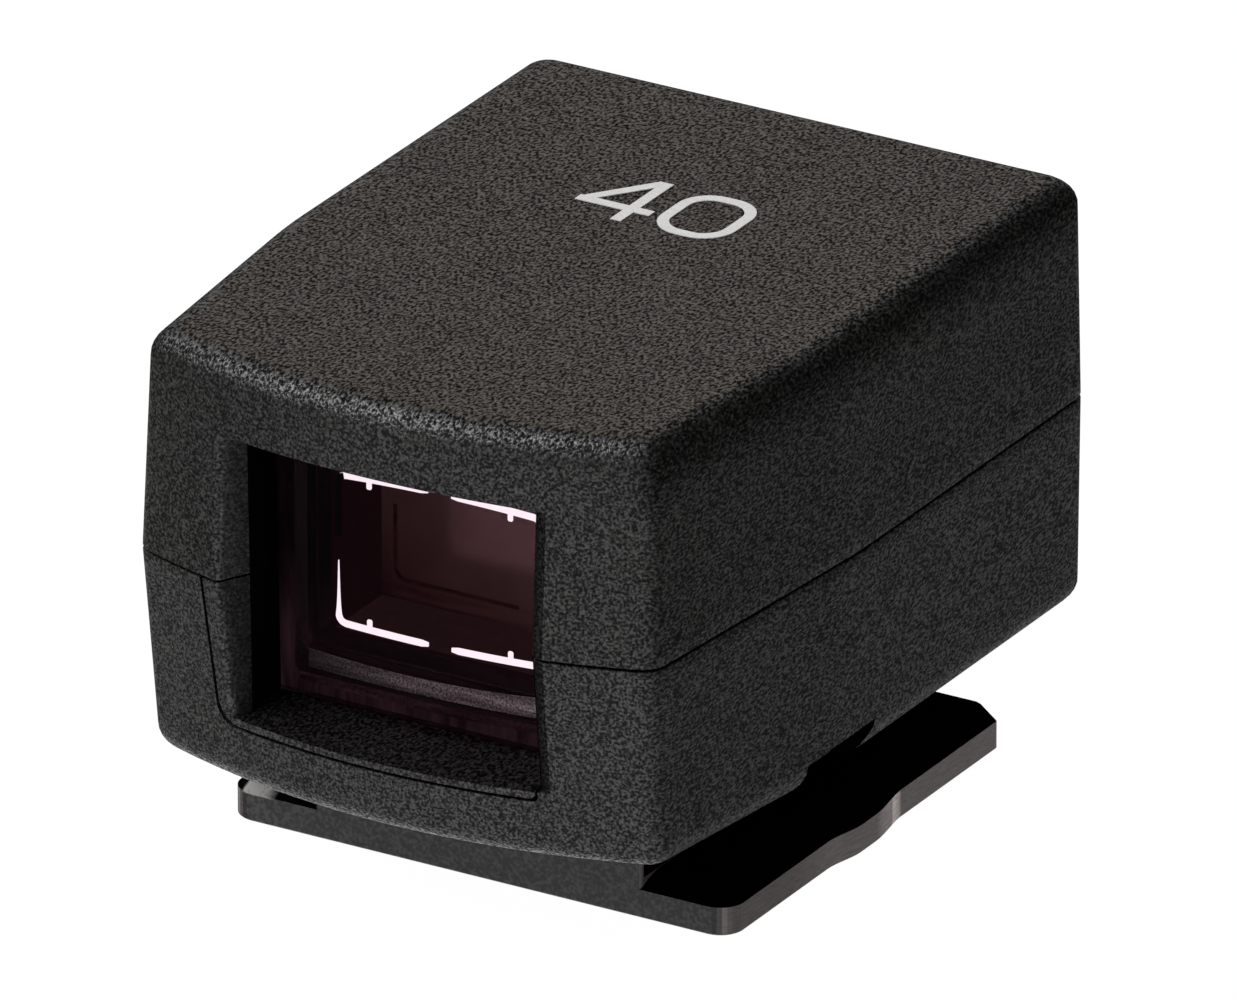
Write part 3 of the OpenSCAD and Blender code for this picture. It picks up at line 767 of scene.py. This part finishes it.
OBJECTIVE = coated_glass("objective_coating", tint=(0.45, 0.32, 0.38),
                         reflection=(0.60, 0.40, 0.75), reflect=0.10, rough=0.04, edge=0.5)
LINE_PLATE = coated_glass("plate_coating", tint=(0.96, 0.92, 0.93), reflection=(0.6, 0.4, 0.42),
                          reflect=0.0, rough=0.05, edge=0.010)
MIRROR = half_mirror("half_mirror")

CAD_MATERIALS = {
    "lens_tunnel": CHASSIS_GLOW, "eyepiece_lens": EYE_LENS, "eyepiece_seal": SEAL,
    "frame_line_plate": LINE_PLATE, "bright_frame_lines": LIT_LINES, "half_mirror_plate": MIRROR,
    "mirror_clip": BLACK_SHEET, "tunnel_baffle": BLACK_SHEET, "objective_lens": OBJECTIVE,
    "objective_seal": SEAL, "front_bezel": BEZEL, "shoe_foot": FOOT,
    "foot_nut_plate": STEEL, "foot_screws": BLACK_OXIDE, "cover_screws": BLACK_OXIDE,
    "tunnel_screws": STEEL, "top_numerals": NUMERALS, "bezel_adhesive": SEAL,
    "light_trap_liners": FLOCK, "top_cover": UPPER_COVER, "bottom_cover": COVER,
    "hood_insert": HOOD,
}
for node_name, node_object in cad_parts.items():
    for material_slot in node_object.material_slots:
        material_slot.material = CAD_MATERIALS[node_name]

# ------------------------------------------------------------------ housing
RECESS_FRONT_Y = -11.6
RIGHT_WALL_X = 5.28
SPLAY_Y = -13.85                            # where the left wall starts to splay out
SPLAY = (-0.4733, -0.8809)                  # unit direction of the splayed wall
RECESS_STATIONS = (4.0, 6.0, 7.0, 8.0, 9.0, 10.0, PARTING_Z, 12.0, 13.0, 14.0, 15.0, 16.0, 17.5)
# floor and ceiling of the eyepiece recess: (y, z)
RECESS_PROFILE = [
    (RECESS_FRONT_Y, EYE_BOTTOM), (-12.3, EYE_BOTTOM), (-17.2, EYE_BOTTOM - 0.28),
    (-17.2, EYE_TOP + 0.82), (-12.3, EYE_TOP + 0.10), (RECESS_FRONT_Y, EYE_TOP + 0.10)]
COVER_SCREWS = [(side * x, y) for x, y in ((7.3, 3.2), (7.1, -8.3)) for side in (-1, 1)]
# notch in the lower edge of each side: (y, z)
SIDE_NOTCH = [(-6.25, 3.0), (-6.15, 3.95), (-5.95, 4.25), (-5.78, 4.6), (-5.74, 4.97),
              (-1.80, 4.97), (-1.85, 4.75), (-2.35, 4.35), (-2.45, 3.9), (-2.5, 3.0)]
WINDOW_X, WINDOW_Y = (-8.05, 8.05), (9.0, 12)      # front opening for the bezel


def rounded_lip(wall, along, inward, radius, z):
    """Rounding from a recess wall to the bowed rear face, then one point clear of the body.

    The wall passes through a point, along a direction; inward points into the housing.
    """
    arc_radius, arc_y = rear_arc(z)
    x, y = wall[0] + inward[0] * radius, wall[1] + inward[1] * radius - arc_y
    travel = distance_to_circle(x, y, *along, arc_radius - radius)
    x, y = x + along[0] * travel, y + along[1] * travel
    length = math.hypot(x, y)
    out_x, out_y = x / length, y / length
    start = math.atan2(-inward[1], -inward[0])
    turn = (math.atan2(out_y, out_x) - start + math.pi) % (2 * math.pi) - math.pi
    turn *= 1.0 - math.radians(2.5) / abs(turn)    # stops just short of tangent
    angles = [start + turn * i / 9 for i in range(10)]
    points = [(x + radius * math.cos(a), y + arc_y + radius * math.sin(a)) for a in angles]
    end_x, end_y = points[-1]
    return points + [(end_x + out_x * 2.2, end_y + out_y * 2.2)]


def recess_cutter():
    rings = []
    for z in RECESS_STATIONS:
        left_x = -(EYE_HALF_WIDTH - 0.11 - 0.14 * min(1.0, max(0.0, (15.5 - z) / 9.0)))
        right = rounded_lip((RIGHT_WALL_X, -13.0), (0.0, -1.0), (1.0, 0.0), 0.60, z)
        left = rounded_lip((left_x, SPLAY_Y), SPLAY, (SPLAY[1], -SPLAY[0]), 0.30, z)
        rings.append((z, [(RIGHT_WALL_X, RECESS_FRONT_Y)] + right + left[::-1]
                      + [(left_x, SPLAY_Y), (left_x, RECESS_FRONT_Y)]))
    walls = rings_solid("rc_a", rings)
    return boolean(walls, prism("rc_b", RECESS_PROFILE, -12, 12, "x"), "INTERSECT")


def hood_outline(grow):
    """The lower hood in (x, z): its left seam stands clear of the recess, the right one hugs it."""
    left_top, left_bottom, right = 6.48 + grow, 6.10 + grow, EYE_HALF_WIDTH + grow
    bottom, left_round, right_round = 6.08 - grow, 0.8, 0.2
    return ([(right, PARTING_Z + 0.3), (-left_top, PARTING_Z + 0.3)]
            + quarter(-left_bottom + left_round, bottom + left_round, left_round, 180, 12)
            + quarter(right - right_round, bottom + right_round, right_round, 270, 6))


# Face tests for the second materials; each takes a face's centre and normal.
def on_lip(centre, normal):
    """Right edge of the recess."""
    return (within(centre, x=(5.2, 5.95), y=(-math.inf, -13.0), z=(6.5, 16.4))
            and normal.x < -0.06 and abs(normal.z) < 0.5)


def on_upper_cheek(centre, normal):
    """Splayed left wall, above the parting line."""
    return (within(centre, x=(-6.6, -5.1), y=(-math.inf, -13.8), z=(6.0, 16.2))
            and abs(normal.x) > 0.6)


def on_lower_cheek(centre, normal):
    return (within(centre, x=(-6.3, -5.1), y=(-math.inf, -13.8), z=(6.0, 16.1))
            and 0.6 < abs(normal.x) < 0.97)


def in_recess(centre):
    return within(centre, x=(-5.47, 5.47), y=(-13.87, -11.9), z=(6.3, 16.0))


def on_upper_recess(centre, normal):
    """Side walls and ceiling."""
    return in_recess(centre) and (abs(normal.x) > 0.9 or normal.z < -0.7)


def on_lower_recess(centre, normal):
    """Side walls."""
    return in_recess(centre) and abs(normal.x) > 0.9


def on_notch(centre, normal):
    return (within(centre, y=(-6.3, -1.75), z=(-math.inf, 5.1))
            and abs(centre.x) > 8.9 and abs(normal.x) < 0.5)


def on_hood_floor(centre, normal):
    return within(centre, x=(-7.3, 7.3), y=(-15.45, math.inf), z=(6.1, 6.7)) and normal.z > 0.7


def finish_cover(obj, material, face_paints, replaces):
    boolean_free_paints = face_paints
    paint(obj, material)
    for face_material, test in boolean_free_paints:
        paint_faces(obj, face_material, test)
    smooth(obj)
    register(obj, replaces)


def upper_cover():
    cover = housing_form("upper_shell", 0.0, z_low=PARTING_Z + SEAM / 2, low_bevel=0.05)
    boolean(cover, housing_form("inner", WALL, z_low=PARTING_Z - 2))
    # solid block round the eyepiece recess
    block = housing_form("block", 0.4, z_low=PARTING_Z + SEAM / 2 + 0.02)
    boolean(block, box("bb", x=(-6.6, 6.6), y=(-16, -12.15), z=(10, 17.6)), "INTERSECT")
    boolean(cover, block, "UNION")
    boolean(cover, box("rebate", x=WINDOW_X, y=WINDOW_Y, z=(5, 16.15)))
    boolean(cover, recess_cutter())
    finish_cover(cover, UPPER_COVER,
                 [(LIT_CHEEK, on_upper_cheek), (SHADED_LIP, on_lip), (RECESS_SHADE, on_upper_recess)],
                 "top_cover")


def lower_cover():
    cover = housing_form("lower_shell", 0.0, z_high=PARTING_Z - SEAM / 2, high_bevel=0.05)
    boolean(cover, housing_form("inner2", WALL, z_high=PARTING_Z + 2))
    boolean(cover, prism("hp", hood_outline(SEAM / 2 + 0.02), -17, -11.9, "y"))
    boolean(cover, recess_cutter())
    boolean(cover, box("win", x=WINDOW_X, y=WINDOW_Y, z=(5.85, 20)))
    # seat for the foot's neck
    boolean(cover, box("seat", x=(-6.0, 6.0), y=(-9.05, 7.05), z=(0, 4.22)))
    for x_low, x_high in ((-12.0, -8.9), (8.9, 12.0)):
        boolean(cover, prism("notch", SIDE_NOTCH, x_low, x_high, "x"))
    for x, y in COVER_SCREWS:
        boolean(cover, prism("cb", circle(x, y, 1.0, 48), 0, 6.2, "z"))
    finish_cover(cover, COVER, [(SHADED_LIP, on_lip), (RECESS_SHADE, on_notch)], "bottom_cover")


def lower_hood():
    """Separate lower half of the hood."""
    hood = housing_form("hood_lower", 0.02, z_high=PARTING_Z - SEAM / 2, high_bevel=0.04)
    boolean(hood, prism("hp2", hood_outline(-SEAM / 2), -17, -12.15, "y"), "INTERSECT")
    boolean(hood, recess_cutter())
    finish_cover(hood, HOOD,
                 [(LIT_LOWER_CHEEK, on_lower_cheek), (SHADED_LIP, on_lip), (RECESS_SHADE, on_lower_recess),
                  (SHADED_HOOD_FLOOR, on_hood_floor)],
                 "hood_insert")


upper_cover()
lower_cover()
lower_hood()

# ------------------------------------------------------------------ eyepiece
LENS_RADIUS, LENS_CENTRE_Y = 18.5, 5.15     # rear surface of the eye lens


def lens_face(x, z):
    """The y just inside the rear surface of the eye lens."""
    return (LENS_CENTRE_Y
            - math.sqrt(LENS_RADIUS ** 2 - x * x - (z - AXIS_Z) ** 2) + 0.02)


# nested rounded rectangles: (half width, bottom z, top z, y or y(x, z), corner radius)
MASK_RINGS = [
    (5.12, 6.87, 15.12, -11.38, 0.25), (4.78, 7.42, 14.70, -11.16, 0.25),
    (4.72, 7.49, 14.63, -11.07, 0.25), (4.52, 7.74, 14.44, -11.06, 0.25),
    (4.46, 7.80, 14.38, -11.12, 0.25), (4.40, 7.86, 14.32, -11.06, 0.25),
    (4.00, 8.34, 14.06, -11.045, 0.35), (4.00, 8.34, 14.06, -11.015, 0.35),
    (5.12, 6.87, 15.12, -11.015, 0.25)]
LENS_EDGE_RINGS = [
    (5.405, 6.515, 15.485, lens_face, 0.12), (5.372, 6.572, 15.428, lens_face, 0.10),
    (5.372, 6.572, 15.428, -12.2, 0.10), (5.372, 6.572, 15.428, -11.99, 0.10),
    (5.405, 6.515, 15.485, -11.99, 0.12)]


def nested_frame(name, rings, materials, pick):
    """Closed frame through nested rings; pick(ring, centre) gives a face's material index."""
    verts, faces, ring_of = [], [], []
    for half_width, low, high, y, radius in rings:
        for x, z in rounded_rectangle(half_width, low, high, radius, 6):
            verts.append((x, y(x, z) if callable(y) else y, z))
    count = len(verts) // len(rings)
    for k in range(len(rings)):
        after = (k + 1) % len(rings)
        for i in range(count):
            j = (i + 1) % count
            faces.append((k * count + i, k * count + j, after * count + j, after * count + i))
            ring_of.append(k)
    obj = new_object(name, verts, faces)
    for material in materials:
        obj.data.materials.append(material)
    for face, k in zip(obj.data.polygons, ring_of):
        face.material_index = pick(k, face.center / MM)
    return obj


def mask_material(ring, centre):
    # lit and shaded copies: low faces take the shaded sill, rings 0 and 3 the lit mask, the rest the
    # shaded mask
    if centre.z < (7.5 if ring == 0 else 8.4):
        return 3
    return 0 if ring in (0, 3) else 1


def lens_edge_material(ring, centre):
    # painted highlight on the lens edge; its first two rings take the shaded mask, its low faces the
    # shaded sill
    if ring in (0, 1):
        return 1
    return 2 if centre.z < 7.0 else 0


def frame_mask():
    mask = nested_frame("frame_mask", MASK_RINGS, [LIT_MASK, SHADED_MASK, LIT_SILL, SHADED_SILL],
                        mask_material)
    bevel = mask.modifiers.new("bev", "BEVEL")
    bevel.width = 0.015 * MM
    bevel.segments = 1
    bevel.limit_method = "ANGLE"
    register(mask)


def lens_edge():
    register(nested_frame("lens_edge_paint", LENS_EDGE_RINGS, [LENS_EDGE_HIGHLIGHT, SHADED_MASK, SHADED_SILL],
                          lens_edge_material))


def second_image(name, side, leg_end):
    """One faint L of the frame's second image, a painted reflection: upright, rounded elbow, level
    leg.
    """
    half_width, bottom, radius, width = 3.83, 8.76, 0.5, 0.14
    top, y_rear, y_front = 11.35, -7.60, -7.585
    elbow = (-half_width + radius, bottom + radius)
    outer = ([(-half_width, top)] + quarter(*elbow, radius, 180, 8) + [(leg_end, bottom)])
    inner = ([(-half_width + width, top)] + quarter(*elbow, radius - width, 180, 8)
             + [(leg_end, bottom + width)])
    points = [(side * x, z) for x, z in outer + inner[::-1]]
    count = len(points)
    verts = [(x, y, z) for y in (y_rear, y_front) for x, z in points]
    faces = []
    for i in range(len(outer) - 1):
        quad = (i, i + 1, count - 2 - i, count - 1 - i)
        faces += [quad, tuple(quad[k] + count for k in (0, 3, 2, 1))]
    faces += [(i, (i + 1) % count, count + (i + 1) % count, count + i) for i in range(count)]
    obj = new_object(name, verts, faces)
    paint(obj, GHOST_REFLECTION)
    register(obj)


def ribbon(verts, faces, stations, y_low, y_high):
    """Adds a flat closed strip; stations (x, z, across x, across z, half width) run along it."""
    base, count = len(verts), len(stations)
    for y in (y_low, y_high):
        for side in (-1, 1):
            for x, z, across_x, across_z, half in stations:
                verts.append((x + side * across_x * half, y, z + side * across_z * half))
    a, b, c, d = (base + k * count for k in range(4))
    for i in range(count - 1):
        faces += [(a + i, a + i + 1, b + i + 1, b + i), (c + i, d + i, d + i + 1, c + i + 1),
                  (a + i, c + i, c + i + 1, a + i + 1), (b + i, b + i + 1, d + i + 1, d + i)]
    faces += [(a, b, d, c), (a + count - 1, c + count - 1, d + count - 1, b + count - 1)]


LINES_X = -0.08                             # middle of the frame lines
LINE_HALF, TICK_HALF = 0.110, 0.088         # half widths
LINE_CORNER_X, LINE_GAP_X, TICK_X = 3.65, 0.42, 2.54     # distances from the middle
ELBOW_ROUND = 0.26
# share of the width at each station up a tapering upright
THINNING = (0.9, 0.66, 0.50, 0.40, 0.32, 0.26, 0.20, 0.14, 0.07)
FULL_WIDTH = (1.0,) * len(THINNING)


def upper_line_z(x):
    return 13.86 + 0.016 * (x - LINES_X) - 0.0081 * (x - LINES_X) ** 2


def lower_line_z(x):
    return 8.66 + 0.0187 * (x - LINES_X) + 0.0076 * (x - LINES_X) ** 2


def frame_quarter(verts, faces, side, top, widths):
    """A quarter of the bright frame: level leg, rounded elbow, upright leg, tick."""
    line_z = upper_line_z if top else lower_line_z
    inward = -1 if top else 1
    upright_end = 11.6 if top else 10.79
    corner_x, radius = LINES_X + side * LINE_CORNER_X, ELBOW_ROUND
    corner_z = line_z(corner_x)
    stations = []
    for i in range(13):
        x = lerp(LINES_X + side * LINE_GAP_X, corner_x - side * radius, i / 12)
        stations.append((x, line_z(x), 0.0, 1.0, LINE_HALF * (0.6 if i == 0 else 1.0)))
    for i in range(1, 8):
        angle = math.radians(90 * i / 8)
        stations.append((corner_x - side * radius + side * radius * math.sin(angle),
                         corner_z + inward * (radius - radius * math.cos(angle)),
                         -inward * side * math.sin(angle), math.cos(angle), LINE_HALF))
    for i in range(9):
        z = lerp(corner_z + inward * radius, upright_end, i / 8)
        stations.append((corner_x, z, -inward * side, 0.0, LINE_HALF * widths[i]))
    ribbon(verts, faces, stations, -11.06, -11.015)
    tick_x = LINES_X + side * TICK_X
    tick_z = line_z(tick_x)
    # distance along the tick, half width there
    tick = ((0.0, TICK_HALF), (0.30, TICK_HALF), (0.345, 0.055))
    ribbon(verts, faces,
           [(tick_x, tick_z + inward * along, 1.0, 0.0, half) for along, half in tick],
           -11.057, -11.018)


def frame_lines():
    verts, faces = [], []
    for side, top, widths in ((-1, True, FULL_WIDTH), (1, True, FULL_WIDTH),
                              (-1, False, THINNING), (1, False, FULL_WIDTH)):
        frame_quarter(verts, faces, side, top, widths)
    lines = new_object("frame_lines", verts, faces)
    paint(lines, LIT_LINES)
    # the upper left upright stands in the housing's shade
    paint_faces(lines, LINES_SHADED,
                lambda centre, normal: within(centre, x=(-math.inf, -3.50), z=(11.0, 13.74)))
    register(lines, "bright_frame_lines")


def ledge_top(x):
    return 7.64 + 0.0356 * x + 0.0131 * x * x


def ledge_bottom(x):
    return 7.088 + 0.0215 * x + 0.00655 * x * x


def sill(name, top_z, bottom_z, material, half_length):
    """Thin sloping ledge below the frame, bowed as the eye lens shows it."""
    y_front, thickness, steps = -11.40, 0.03, 28
    stations = []
    for i in range(steps + 1):
        x = lerp(-half_length, half_length, i / steps)
        high, low = top_z(x), bottom_z(x)
        stations.append((x, (high + low) / 2, 0.0, 1.0, (high - low) / 2))
    verts, faces = [], []
    ribbon(verts, faces, stations, y_front - thickness, y_front)
    obj = new_object(name, verts, faces)
    paint(obj, material)
    register(obj)


frame_mask()
lens_edge()
second_image("second_image_left", side=1, leg_end=0.70)
second_image("second_image_right", side=-1, leg_end=-1.60)
frame_lines()
# painted light: the lit ledge below the frame, and the maroon-glowing step beneath it
sill("sill_ledge", ledge_top, ledge_bottom, LIT_SILL, half_length=4.6)
sill("sill_step", lambda x: ledge_bottom(x) - 0.24, lambda x: ledge_bottom(x) - 0.50,
     SILL_MAROON_GLOW, half_length=4.9)

# ------------------------------------------------------------------ shoe foot
PLATE_HALF_WIDTH, PLATE_REAR_Y, PLATE_FRONT_Y = 9.1, -8.95, 8.5
# plate levels: (z, inset)
PLATE_LEVELS = [(0.0, 0.05), (0.05, 0.0), (0.5, 0.0), (0.96, 0.0),
                (1.01, 0.05), (1.16, 0.40), (1.27, 0.85), (1.30, 1.15)]
BUMP_HEIGHT = 0.26
BUMP_REAR, BUMP_FRONT = -2.9, 1.7           # ends of the friction bump
FOOT_SCREWS = [(side * 3.4, y) for side in (-1, 1) for y in (-5.2, 3.6)]
SCREW_HOLE_RADIUS = 0.85
COUNTERSINK = ((-0.2, 1.6), (0.12, 1.6), (0.95, 0.84))      # (z, radius)


def bump_out(y):
    """How far the friction bump stands out at y."""
    if y < BUMP_REAR or y > BUMP_FRONT:
        return 0.0
    if y < -1.25:
        t = (y - BUMP_REAR) / 1.65
    elif y > -0.45:
        t = (BUMP_FRONT - y) / 2.15
    else:
        t = 1.0
    return BUMP_HEIGHT * t * t * (3 - 2 * t)


def plate_ring(inset):
    """Outline of the plate, inset by a distance."""
    x, rear, front = PLATE_HALF_WIDTH - inset, PLATE_REAR_Y + inset, PLATE_FRONT_Y - inset
    radius = max(0.25, CORNER_ROUND - inset)
    bump_share = 1.0 if inset < 0.3 else 0.4
    half = [(0.0, rear)]
    half += [((x - radius) * k / 6, rear) for k in range(1, 6)]
    half += quarter(x - radius, rear + radius, radius, -90, 8)
    for k in range(40):
        y = lerp(-3.2, 2.0, k / 39)
        half.append((x + bump_out(y) * bump_share, y))
    # chamfered front corner
    half += [(x, front - 0.98), (x - 0.02, front - 0.90), (x - 1.10, front - 0.04),
             (x - 1.20, front)]
    half += [((x - 1.2) * (1 - k / 6), front) for k in range(1, 6)]
    half.append((0.0, front))
    return mirrored(half)


def shoe_foot():
    foot = rings_solid("foot_body", [(z, plate_ring(inset)) for z, inset in PLATE_LEVELS])
    neck = rounded_rectangle(5.9, PLATE_REAR_Y, 6.95, 0.12, 4)
    boolean(foot, prism("neck", neck, 0.5, 4.18, "z"), "UNION")
    for x, y in FOOT_SCREWS:
        boolean(foot, prism("fh", circle(x, y, SCREW_HOLE_RADIUS, 32), -1, 6, "z"))
        boolean(foot, rings_solid("cs", [(z, circle(x, y, r, 40)) for z, r in COUNTERSINK]))
    paint(foot, FOOT)
    smooth(foot, 28)
    register(foot, "shoe_foot")


shoe_foot()


# ------------------------------------------------------------------ floor
def white_floor():
    """White to the camera from above; clear from below and to every other ray."""
    bpy.ops.mesh.primitive_plane_add(size=3.0, location=(0, 0, -0.00002))
    floor = bpy.context.object
    floor.name = "floor"
    material, net = new_material("floor_white")
    mottling = net.noise(net.coords(scale=1.0), scale=4.0)
    surface = net.principled(color=net.mottle(mottling, (0.86, 0.86, 0.855), (0.90, 0.90, 0.895)),
                             rough=0.6)
    glow = net.value("ShaderNodeEmission", {"Strength": 1.02})
    white = net.mix_shaders(0.97, surface, glow)
    is_camera = net.node("ShaderNodeLightPath").outputs["Is Camera Ray"]
    backfacing = net.node("ShaderNodeNewGeometry").outputs["Backfacing"]
    seen = net.times(is_camera, net.rest(backfacing))
    net.output(net.mix_shaders(seen, net.value("ShaderNodeBsdfTransparent"), white))
    paint(floor, material)


# ------------------------------------------------------------------ surround
REAR_DIRECTION = (0.20, -0.98, 0.0)
# lower half: strength away from and towards the rear, and an extra lift at the rear
LOWER_FAR, LOWER_NEAR, LOWER_LIFT = 0.36, 0.90, 1.25
LOWER_NADIR, LOWER_HORIZON = 1.55, 0.55     # factors straight down and at the horizon
UPPER_HORIZON, UPPER_ZENITH = 0.10, 0.75
# spots: (direction, cosine span, added strength)
UPPER_FRONT_LEFT = ((-0.50, 0.76, 0.42), (0.75, 1.0), 0.62)
UPPER_REAR_LEFT = ((-0.47, -0.41, 0.79), (0.88, 0.985), 11.0)
LOWER_FRONT_LEFT = ((-0.465, 0.408, -0.786), (0.93, 0.99), 1.3)
# dimmed part at the front right: direction, cosine span, what is left of the light
DARK_DIRECTION, DARK_SPAN, DARK_LEFT = (0.52, 0.80, 0.30), (0.79, 0.92), 0.02


def surround():
    """Soft surround: white to the camera, brightest from above at the rear left."""
    world = bpy.data.worlds.new("studio")
    bpy.context.scene.world = world
    world.use_nodes = True
    net = Net(world.node_tree)
    direction = net.node("ShaderNodeTexCoord").outputs["Generated"]

    def toward(axis):
        """Cosine of the angle to an axis."""
        return net.node("ShaderNodeVectorMath", {0: direction, 1: Vector(axis).normalized()},
                        operation="DOT_PRODUCT").outputs["Value"]

    def soft(value, over, to):
        return net.remap(value, over, to, curve="SMOOTHSTEP")

    def spot(axis, span, strength):
        return soft(toward(axis), over=span, to=(0.0, strength))

    height = toward((0, 0, 1))
    rearward = toward(REAR_DIRECTION)
    lower = net.plus(net.remap(rearward, over=(-1.0, 1.0), to=(LOWER_FAR, LOWER_NEAR)),
                     soft(rearward, over=(0.1, 1.0), to=(0.0, LOWER_LIFT)))
    lower = net.times(
        lower, net.remap(height, over=(-1.0, 0.0), to=(LOWER_NADIR, LOWER_HORIZON)))
    upper = net.plus(soft(height, over=(0.0, 1.0), to=(UPPER_HORIZON, UPPER_ZENITH)),
                     spot(*UPPER_FRONT_LEFT))
    upper = net.plus(upper, spot(*UPPER_REAR_LEFT))
    lower = net.plus(lower, spot(*LOWER_FRONT_LEFT))
    # the dividing line rises towards the rear
    divide = soft(rearward, over=(0.05, 0.7), to=(0.0, 0.30))
    is_upper = soft(net.math("SUBTRACT", height, divide), over=(-0.08, 0.08), to=(0.0, 1.0))
    strength = net.plus(net.times(upper, is_upper), net.times(lower, net.rest(is_upper)))
    strength = net.times(strength,
                         soft(toward(DARK_DIRECTION), over=DARK_SPAN, to=(1.0, DARK_LEFT)))
    light = net.value("ShaderNodeBackground", {"Strength": strength})
    white = net.value("ShaderNodeBackground", {"Color": (1, 1, 1, 1), "Strength": 1.0})
    is_camera = net.node("ShaderNodeLightPath").outputs["Is Camera Ray"]
    net.output(net.mix_shaders(is_camera, light, white), "ShaderNodeOutputWorld")


# ------------------------------------------------------------------ camera
CAMERA_AZIMUTH = math.radians(30.62)        # from straight behind, towards the right
CAMERA_ELEVATION = math.radians(24.099)
CAMERA_ROLL = math.radians(-0.042)
CAMERA_DISTANCE = 0.91612                   # metres
CAMERA_TARGET = Vector((0.00123, -0.002421, 0.010624))      # metres


def rear_camera():
    """Long-lens view from the rear right and above."""
    azimuth, elevation, roll = CAMERA_AZIMUTH, CAMERA_ELEVATION, CAMERA_ROLL
    back = Vector((math.sin(azimuth) * math.cos(elevation),
                   -math.cos(azimuth) * math.cos(elevation), math.sin(elevation)))
    level = Vector((math.cos(azimuth), math.sin(azimuth), 0))
    upright = back.cross(level)
    right = level * math.cos(roll) + upright * math.sin(roll)
    top = -level * math.sin(roll) + upright * math.cos(roll)
    data = bpy.data.cameras.new("camera")
    camera = bpy.data.objects.new("camera", data)
    bpy.context.scene.collection.objects.link(camera)
    camera.matrix_world = Matrix((right, top, back)).transposed().to_4x4()
    camera.location = CAMERA_TARGET + back * CAMERA_DISTANCE
    data.sensor_fit = "HORIZONTAL"
    data.sensor_width = 36.0
    data.lens = 857.437348
    data.clip_end = 10.0
    data.clip_start = 0.01
    bpy.context.scene.camera = camera


white_floor()
surround()
rear_camera()
bpy.context.scene.view_settings.view_transform = "Standard"
